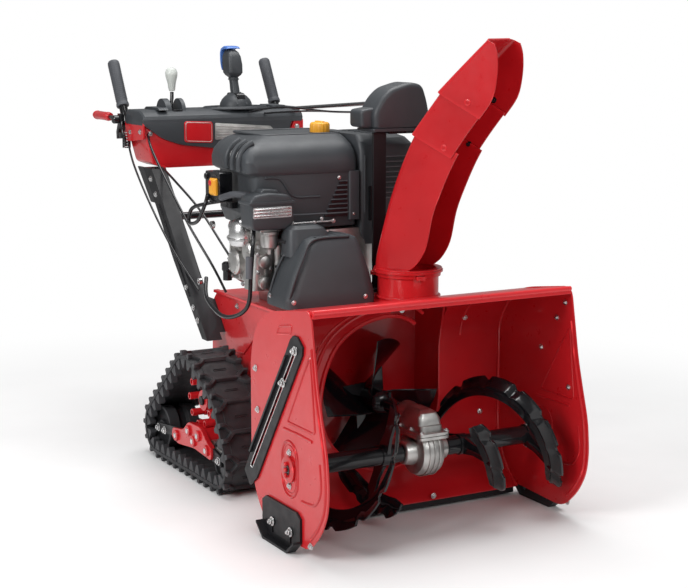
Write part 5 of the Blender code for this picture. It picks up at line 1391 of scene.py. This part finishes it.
def make_grips():
    """Ribbed grips on their tubes, cable hooks with return springs, and the red hand levers."""
    base = Vector((0.252, 0.676, 0.971))
    along = Vector((0, 0.075, 0.132)).normalized()
    stations = [(0.0, 0.0150), (0.001, 0.0185), (0.006, 0.0192), (0.011, 0.0185), (0.0125, 0.0172),
                (0.060, 0.0170), (0.110, 0.0176), (0.140, 0.0180), (0.147, 0.0172), (0.151, 0.0145),
                (0.1525, 0.0080)]
    shapes = [sweep([base + along * a for a, r in stations], [r for a, r in stations], 28)]
    for k in range(18):
        ends = [base + along * (0.022 + 0.0065 * k + shift) for shift in (-0.0011, 0, 0.0011)]
        shapes.append(sweep(ends, [0.0168, 0.0181, 0.0168], 28))
    both_sides("grip_moulding_{}", merged(*shapes), GRIP, "machine", "grip_{}", bevel=0, angle=40)
    tube_path = flowing([(0.252, 0.6535, 0.850), (0.252, 0.6535, 0.905), (0.252, 0.656, 0.935),
                         base + along * 0.004], 4)
    clamp = merged(block((0.232, 0.641, 0.880), (0.272, 0.668, 0.896), 0.005, "z"),
                   block((0.264, 0.644, 0.918), (0.2745, 0.668, 0.952), 0.004, "z"))
    hook = sweep(flowing([(0.268, 0.650, 0.930), (0.276, 0.628, 0.912), (0.272, 0.615, 0.880),
                          (0.268, 0.622, 0.858)], 4), 0.0042, 10)
    spring = [(0.262 + 0.0065 * cos(0.9 * i), 0.632 + 0.0065 * sin(0.9 * i), 0.852 + 0.0011 * i)
              for i in range(46)]
    both_sides("grip_tube_{}", merged(sweep(tube_path, 0.0125, 20), clamp, hook), BLACK, "machine")
    both_sides("return_spring_{}", sweep(spring, 0.0014, 7), STEEL, "machine", bevel=0)
    pivot = anchor("hand_lever_left_squeeze")
    reach = sweep([pivot + Vector((0, a, b)) for a, b in ((0, 0), (0.022, 0.004), (0.052, 0.006))], 0.0062,
                  14)
    bar_shape = sweep([pivot + Vector((0, a, 0.006))
                       for a in (0.044, 0.047, 0.056, 0.100, 0.156, 0.165, 0.168)],
                      [0.009, 0.0125, 0.0130, 0.0128, 0.0132, 0.0110, 0.0050], 24)
    rings = [sweep([pivot + Vector((0, a + shift, 0.006)) for shift in (-0.002, 0, 0.002)],
                   [0.0126, 0.0140, 0.0126], 24) for a in (0.060, 0.150)]
    both_sides("lever_bar_{}", merged(bar_shape, *rings), RED, "hand_lever_{}", "hand_lever_{}",
               bevel=0.0004)
    hub = lathe([(0.010, pivot.x - 0.0105), (0.0125, pivot.x - 0.008), (0.0125, pivot.x + 0.006),
                 (0.010, pivot.x + 0.009)], "x", (pivot.y, pivot.z), 28)
    both_sides("lever_hub_{}", merged(reach, hub), BLACK, "hand_lever_{}", bevel=0.0005)


def make_control_cover():
    """Hood over the chute's turning gear with a brush seal below it, on its folded post."""
    outline = rounded([(0.046, 0.947), (0.043, 0.992), (0.066, 1.030), (0.094, 1.054), (0.150, 1.069),
                       (0.188, 1.062), (0.203, 1.020), (0.213, 0.965), (0.206, 0.948)], 0.016, 5)
    side_box = rounded([(0.014, 0.956), (0.014, 1.000), (0.060, 1.006), (0.060, 0.950)], 0.010)
    ridge = sweep([(x, -0.3085, z)
                   for x, z in flowing_flat([(0.052, 0.990), (0.076, 1.030), (0.104, 1.052), (0.152, 1.062),
                                             (0.184, 1.055)])], 0.0020, 8)
    lower_lip = slab(rounded([(0.040, 0.9445), (0.212, 0.9445), (0.214, 0.952), (0.038, 0.952)], 0.003),
                     -0.320, -0.232, 0.004)
    piece("gear_hood",
          merged(slab(outline, -0.318, -0.230, 0.014, 5), slab(side_box, -0.300, -0.236, 0.008), ridge,
                 lower_lip), PLASTIC, "machine", "control_cover", bevel=0.0006, angle=26)
    teeth = []
    for k in range(17):
        x = 0.092 + 0.0062 * k
        teeth += [block((x, y0, 0.9375), (x + 0.0036, y1, 0.9450))
                  for y0, y1 in ((-0.311, -0.300), (-0.250, -0.240))]
    axis, root, tip = (0.140, -0.275), 0.040, 0.0428
    gear = []
    for i in range(96):
        turn = 2 * pi * i / 96
        radius = tip if i % 4 in (0, 1) else root
        gear.append((axis[0] + radius * cos(turn), axis[1] + radius * sin(turn)))
    piece("gear_teeth", merged(*teeth, prism(gear, "z", 0.9385, 0.9443)), BLACK, "machine", bevel=0.0003)


def make_cables():
    """Throttle and clutch cables, the starter cord and their clips."""
    runs = [([(-0.250, -0.215, 0.716), (-0.268, -0.250, 0.690), (-0.282, -0.262, 0.600),
              (-0.286, -0.255, 0.520), (-0.292, -0.200, 0.482), (-0.300, -0.120, 0.470),
              (-0.296, -0.020, 0.500), (-0.262, 0.060, 0.540)], 0.0055),
            ([(-0.302, -0.048, 0.779), (-0.316, -0.058, 0.750), (-0.320, -0.020, 0.706),
              (-0.322, 0.030, 0.698), (-0.318, 0.020, 0.735), (-0.300, -0.030, 0.752),
              (-0.270, -0.060, 0.760)], 0.0050),
            ([(-0.238, 0.520, 0.905), (-0.262, 0.430, 0.860), (-0.262, 0.300, 0.760),
              (-0.246, 0.200, 0.660), (-0.215, 0.120, 0.560), (-0.190, 0.090, 0.490)], 0.0036),
            ([(-0.200, 0.505, 0.800), (-0.205, 0.400, 0.770), (-0.190, 0.260, 0.700),
              (-0.170, 0.150, 0.610), (-0.150, 0.090, 0.545)], 0.0034),
            ([(-0.255, 0.640, 0.885), (-0.268, 0.560, 0.810), (-0.262, 0.450, 0.700),
              (-0.246, 0.330, 0.585), (-0.215, 0.220, 0.480)], 0.0030),
            ([(0.080, 0.497, 0.955), (0.110, 0.340, 0.976), (0.130, 0.080, 0.975), (0.120, -0.150, 0.985),
              (0.075, -0.236, 0.988)], 0.0030),
            ([(0.130, 0.497, 0.950), (0.160, 0.300, 0.965), (0.175, 0.100, 0.972), (0.150, -0.120, 0.980),
              (0.110, -0.234, 0.985)], 0.0028)]
    shapes = [sweep(flowing(points, 7), radius, 12) for points, radius in runs]
    piece("cables", merged(*shapes), BLACK, "machine", bevel=0)
    bell = sweep(flowing([(-0.222, -0.200, 0.772), (-0.250, -0.215, 0.785), (-0.285, -0.180, 0.790),
                          (-0.296, -0.120, 0.776)], 5), 0.0085, 14)
    sleeve = sweep([(-0.2865, -0.262, 0.640), (-0.2875, -0.262, 0.585)], 0.0085, 16)
    piece("cable_sleeves", merged(bell, sleeve), GRIP, "machine", bevel=0)
    clips = [ring("x", (0.158, 0.515), 0.009, 0.0055, -0.242, -0.234, 20),
             ring("x", (-0.062, 0.700), 0.010, 0.0055, -0.300, -0.292, 20)]
    piece("cable_clips", merged(*clips), STEEL, "machine", bevel=0)


UPRIGHT_FACE = 0.2333


def make_frame_details():
    """Folds, seams, bolts and brackets of the chassis and the handle uprights."""
    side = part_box("chassis")[1].x
    rail = [(-0.296, 0.476), (0.188, 0.476), (0.188, 0.484), (-0.296, 0.484)]
    plate = [(-0.040, 0.160), (0.060, 0.160), (0.074, 0.230), (0.040, 0.285), (-0.030, 0.280),
             (-0.056, 0.230)]
    wing = [(-0.300, 0.300), (-0.262, 0.300), (-0.262, 0.480), (-0.300, 0.484)]
    seam = ((-0.296, 0.440), (-0.120, 0.440), (0.020, 0.330), (0.180, 0.320))
    folds = doubled(prism(rounded(rail, 0.002), "x", side - 0.001, side + 0.014),
                    sweep([(side + 0.0005, y, z) for y, z in seam], 0.0030, 8),
                    prism(rounded(plate, 0.014), "x", side, side + 0.004),
                    prism(rounded(wing, 0.006), "x", side + 0.0002, side + 0.030))
    piece("chassis_folds", folds, RED, "machine", bevel=0.001)
    groups = ((0.0302, ((-0.282, 0.320), (-0.282, 0.400), (-0.282, 0.460))),
              (0.0003, ((-0.180, 0.460), (0.060, 0.455))),
              (0.0042, ((0.000, 0.262), (0.046, 0.186), (-0.028, 0.186))))
    heads = [bolts("x", 1, 0.0065, [(side + reach, *spot) for spot in spots]) for reach, spots in groups]
    upright_spots = ((0.187, 0.400), (0.216, 0.432), (0.263, 0.483), (0.477, 0.726), (0.512, 0.768))
    heads.append(bolts("x", 1, 0.0070, [(UPRIGHT_FACE, *spot) for spot in upright_spots]))
    piece("chassis_bolts", doubled(*heads), STEEL, "machine", bevel=0.0004)
    gusset = [(0.470, 0.700), (0.560, 0.7975), (0.620, 0.7975), (0.600, 0.780), (0.520, 0.700)]
    fold = [(UPRIGHT_FACE + 0.0002, y, z) for y, z in ((0.240, 0.460), (0.325, 0.554), (0.455, 0.700))]
    braces = doubled(prism(rounded(gusset, 0.006), "x", 0.226, 0.2325), sweep(fold, 0.0028, 8))
    tie = sweep([(x, 0.420, 0.665) for x in (-0.186, 0.186)], 0.011, 20)
    piece("handle_braces", merged(braces, tie), BLACK, "machine", bevel=0.0008)


def make_cutter_edges():
    """Rolled, brighter edges along the slots of the drift cutters."""
    top, bottom = (Vector(stud) for stud in CUTTER_STUDS)
    along = (bottom - top).normalized()
    across = Vector((along.y, -along.x))
    loop = []
    for centre, base in ((top - along * 0.004, 180), (bottom + along * 0.295, 0)):
        for a, b in arc((0, 0), 0.0062, base - 90, base + 90, 8):
            spot = centre + along * a + across * b
            loop.append((0.3677, spot.x, spot.y))
    both_sides("cutter_slot_edge_{}", sweep(loop, 0.0011, 8, closed=True), STEEL, "drift_cutter_{}",
               bevel=0)


make_tracks()
make_sprockets()
make_track_details()
make_augers()
make_impeller()
make_gearcase()
make_side_plates()
make_cutter_edges()
make_housing_details()
make_chute()
make_neck()
make_shroud()
make_fuel_cap()
make_block()
make_air_side()
make_belt_cover()
make_exhaust_guard()
make_switch()
make_starter()
make_console_body()
make_dash()
make_stick()
make_grips()
make_control_cover()
make_cables()
make_frame_details()
SATIN_NODES = {"handle_upright_left", "handle_upright_right", "control_post", "track_frame_left",
               "track_frame_right", "drift_cutter_left", "drift_cutter_right", "skid_shoe_left",
               "skid_shoe_right", "scraper_bar"}
for name in sorted(frame["nodes"]):
    if name not in REPLACED:
        refined(name, material=FRAME_BLACK if name in SATIN_NODES else None)


# ---------------------------------------------------------------- stage, light and camera
def make_stage():
    """Pale floor that brightens with distance, for the camera only, until it meets the backdrop."""
    floor_mesh = bpy.data.meshes.new("floor")
    half = 14.0
    floor_mesh.from_pydata([(-half, -half, 0), (half, -half, 0), (half, half, 0), (-half, half, 0)], [],
                           [(0, 1, 2, 3)])
    floor = bpy.data.objects.new("floor", floor_mesh)
    floor.location.z = -0.0005
    bpy.context.scene.collection.objects.link(floor)
    made, tree, shader, place = new_material("pale_floor")
    tree.links.new(ramp(tree, noise(tree, place, 3.0), (0.3, 0.90), (0.7, 0.94)),
                   shader.inputs["Base Color"])
    shader.inputs["Roughness"].default_value = 0.6
    far = tree.nodes.new("ShaderNodeVectorMath")
    far.operation = "LENGTH"
    tree.links.new(place, far.inputs[0])
    fade = tree.nodes.new("ShaderNodeMapRange")
    fade.interpolation_type = "SMOOTHSTEP"
    fade.inputs["From Min"].default_value = 0.7
    fade.inputs["From Max"].default_value = 2.2
    tree.links.new(far.outputs["Value"], fade.inputs["Value"])
    seen = tree.nodes.new("ShaderNodeLightPath").outputs["Is Camera Ray"]
    share = tree.nodes.new("ShaderNodeMath")
    share.operation = "MULTIPLY"
    tree.links.new(fade.outputs["Result"], share.inputs[0])
    tree.links.new(seen, share.inputs[1])
    glow = tree.nodes.new("ShaderNodeEmission")
    blend = tree.nodes.new("ShaderNodeMixShader")
    tree.links.new(share.outputs["Value"], blend.inputs["Fac"])
    tree.links.new(shader.outputs["BSDF"], blend.inputs[1])
    tree.links.new(glow.outputs["Emission"], blend.inputs[2])
    tree.links.new(blend.outputs["Shader"], tree.nodes["Material Output"].inputs["Surface"])
    floor_mesh.materials.append(made)


def area_light(name, place, target, size, power):
    """A soft box that looks at a target."""
    data = bpy.data.lights.new(name, "AREA")
    data.shape = "RECTANGLE"
    data.size, data.size_y = size
    data.energy = power
    light = bpy.data.objects.new(name, data)
    light.location = place
    light.rotation_euler = (Vector(target) - Vector(place)).to_track_quat("-Z", "Y").to_euler()
    bpy.context.scene.collection.objects.link(light)


def make_lights():
    """Bright backdrop for the camera, a dimmer one for the light, and soft boxes round the machine."""
    world = bpy.data.worlds.new("studio")
    world.use_nodes = True
    tree = world.node_tree
    background = tree.nodes["Background"]
    background.inputs["Color"].default_value = (1.0, 1.0, 1.0, 1)
    seen = tree.nodes.new("ShaderNodeLightPath").outputs["Is Camera Ray"]
    strength = tree.nodes.new("ShaderNodeMapRange")
    strength.inputs["To Min"].default_value = 0.28
    strength.inputs["To Max"].default_value = 1.0
    tree.links.new(seen, strength.inputs["Value"])
    tree.links.new(strength.outputs["Result"], background.inputs["Strength"])
    bpy.context.scene.world = world
    centre = (0, -0.1, 0.5)
    area_light("key", (-3.4, -1.2, 2.6), centre, (1.6, 1.6), 85)
    area_light("front", (0.4, -4.2, 2.4), centre, (2.2, 1.0), 34)
    area_light("top", (0.3, 0.2, 3.6), centre, (2.2, 2.8), 105)


CAMERA_PLACE = (-1.991, -3.850, 1.221)
CAMERA_TURN = -28.84
CAMERA_DROP = 9.66
CAMERA_LENS = 83.7


def make_camera():
    """The studio camera: in front and to the machine's right, a little above its console."""
    data = bpy.data.cameras.new("camera")
    data.sensor_width = 36.0
    data.lens = CAMERA_LENS
    camera = bpy.data.objects.new("camera", data)
    camera.location = CAMERA_PLACE
    turn, drop = radians(CAMERA_TURN), radians(CAMERA_DROP)
    forward = Vector((-sin(turn) * cos(drop), cos(turn) * cos(drop), -sin(drop)))
    camera.rotation_euler = forward.to_track_quat("-Z", "Y").to_euler()
    bpy.context.scene.collection.objects.link(camera)
    bpy.context.scene.camera = camera


make_stage()
make_lights()
make_camera()
bpy.context.scene.view_settings.view_transform = "Standard"
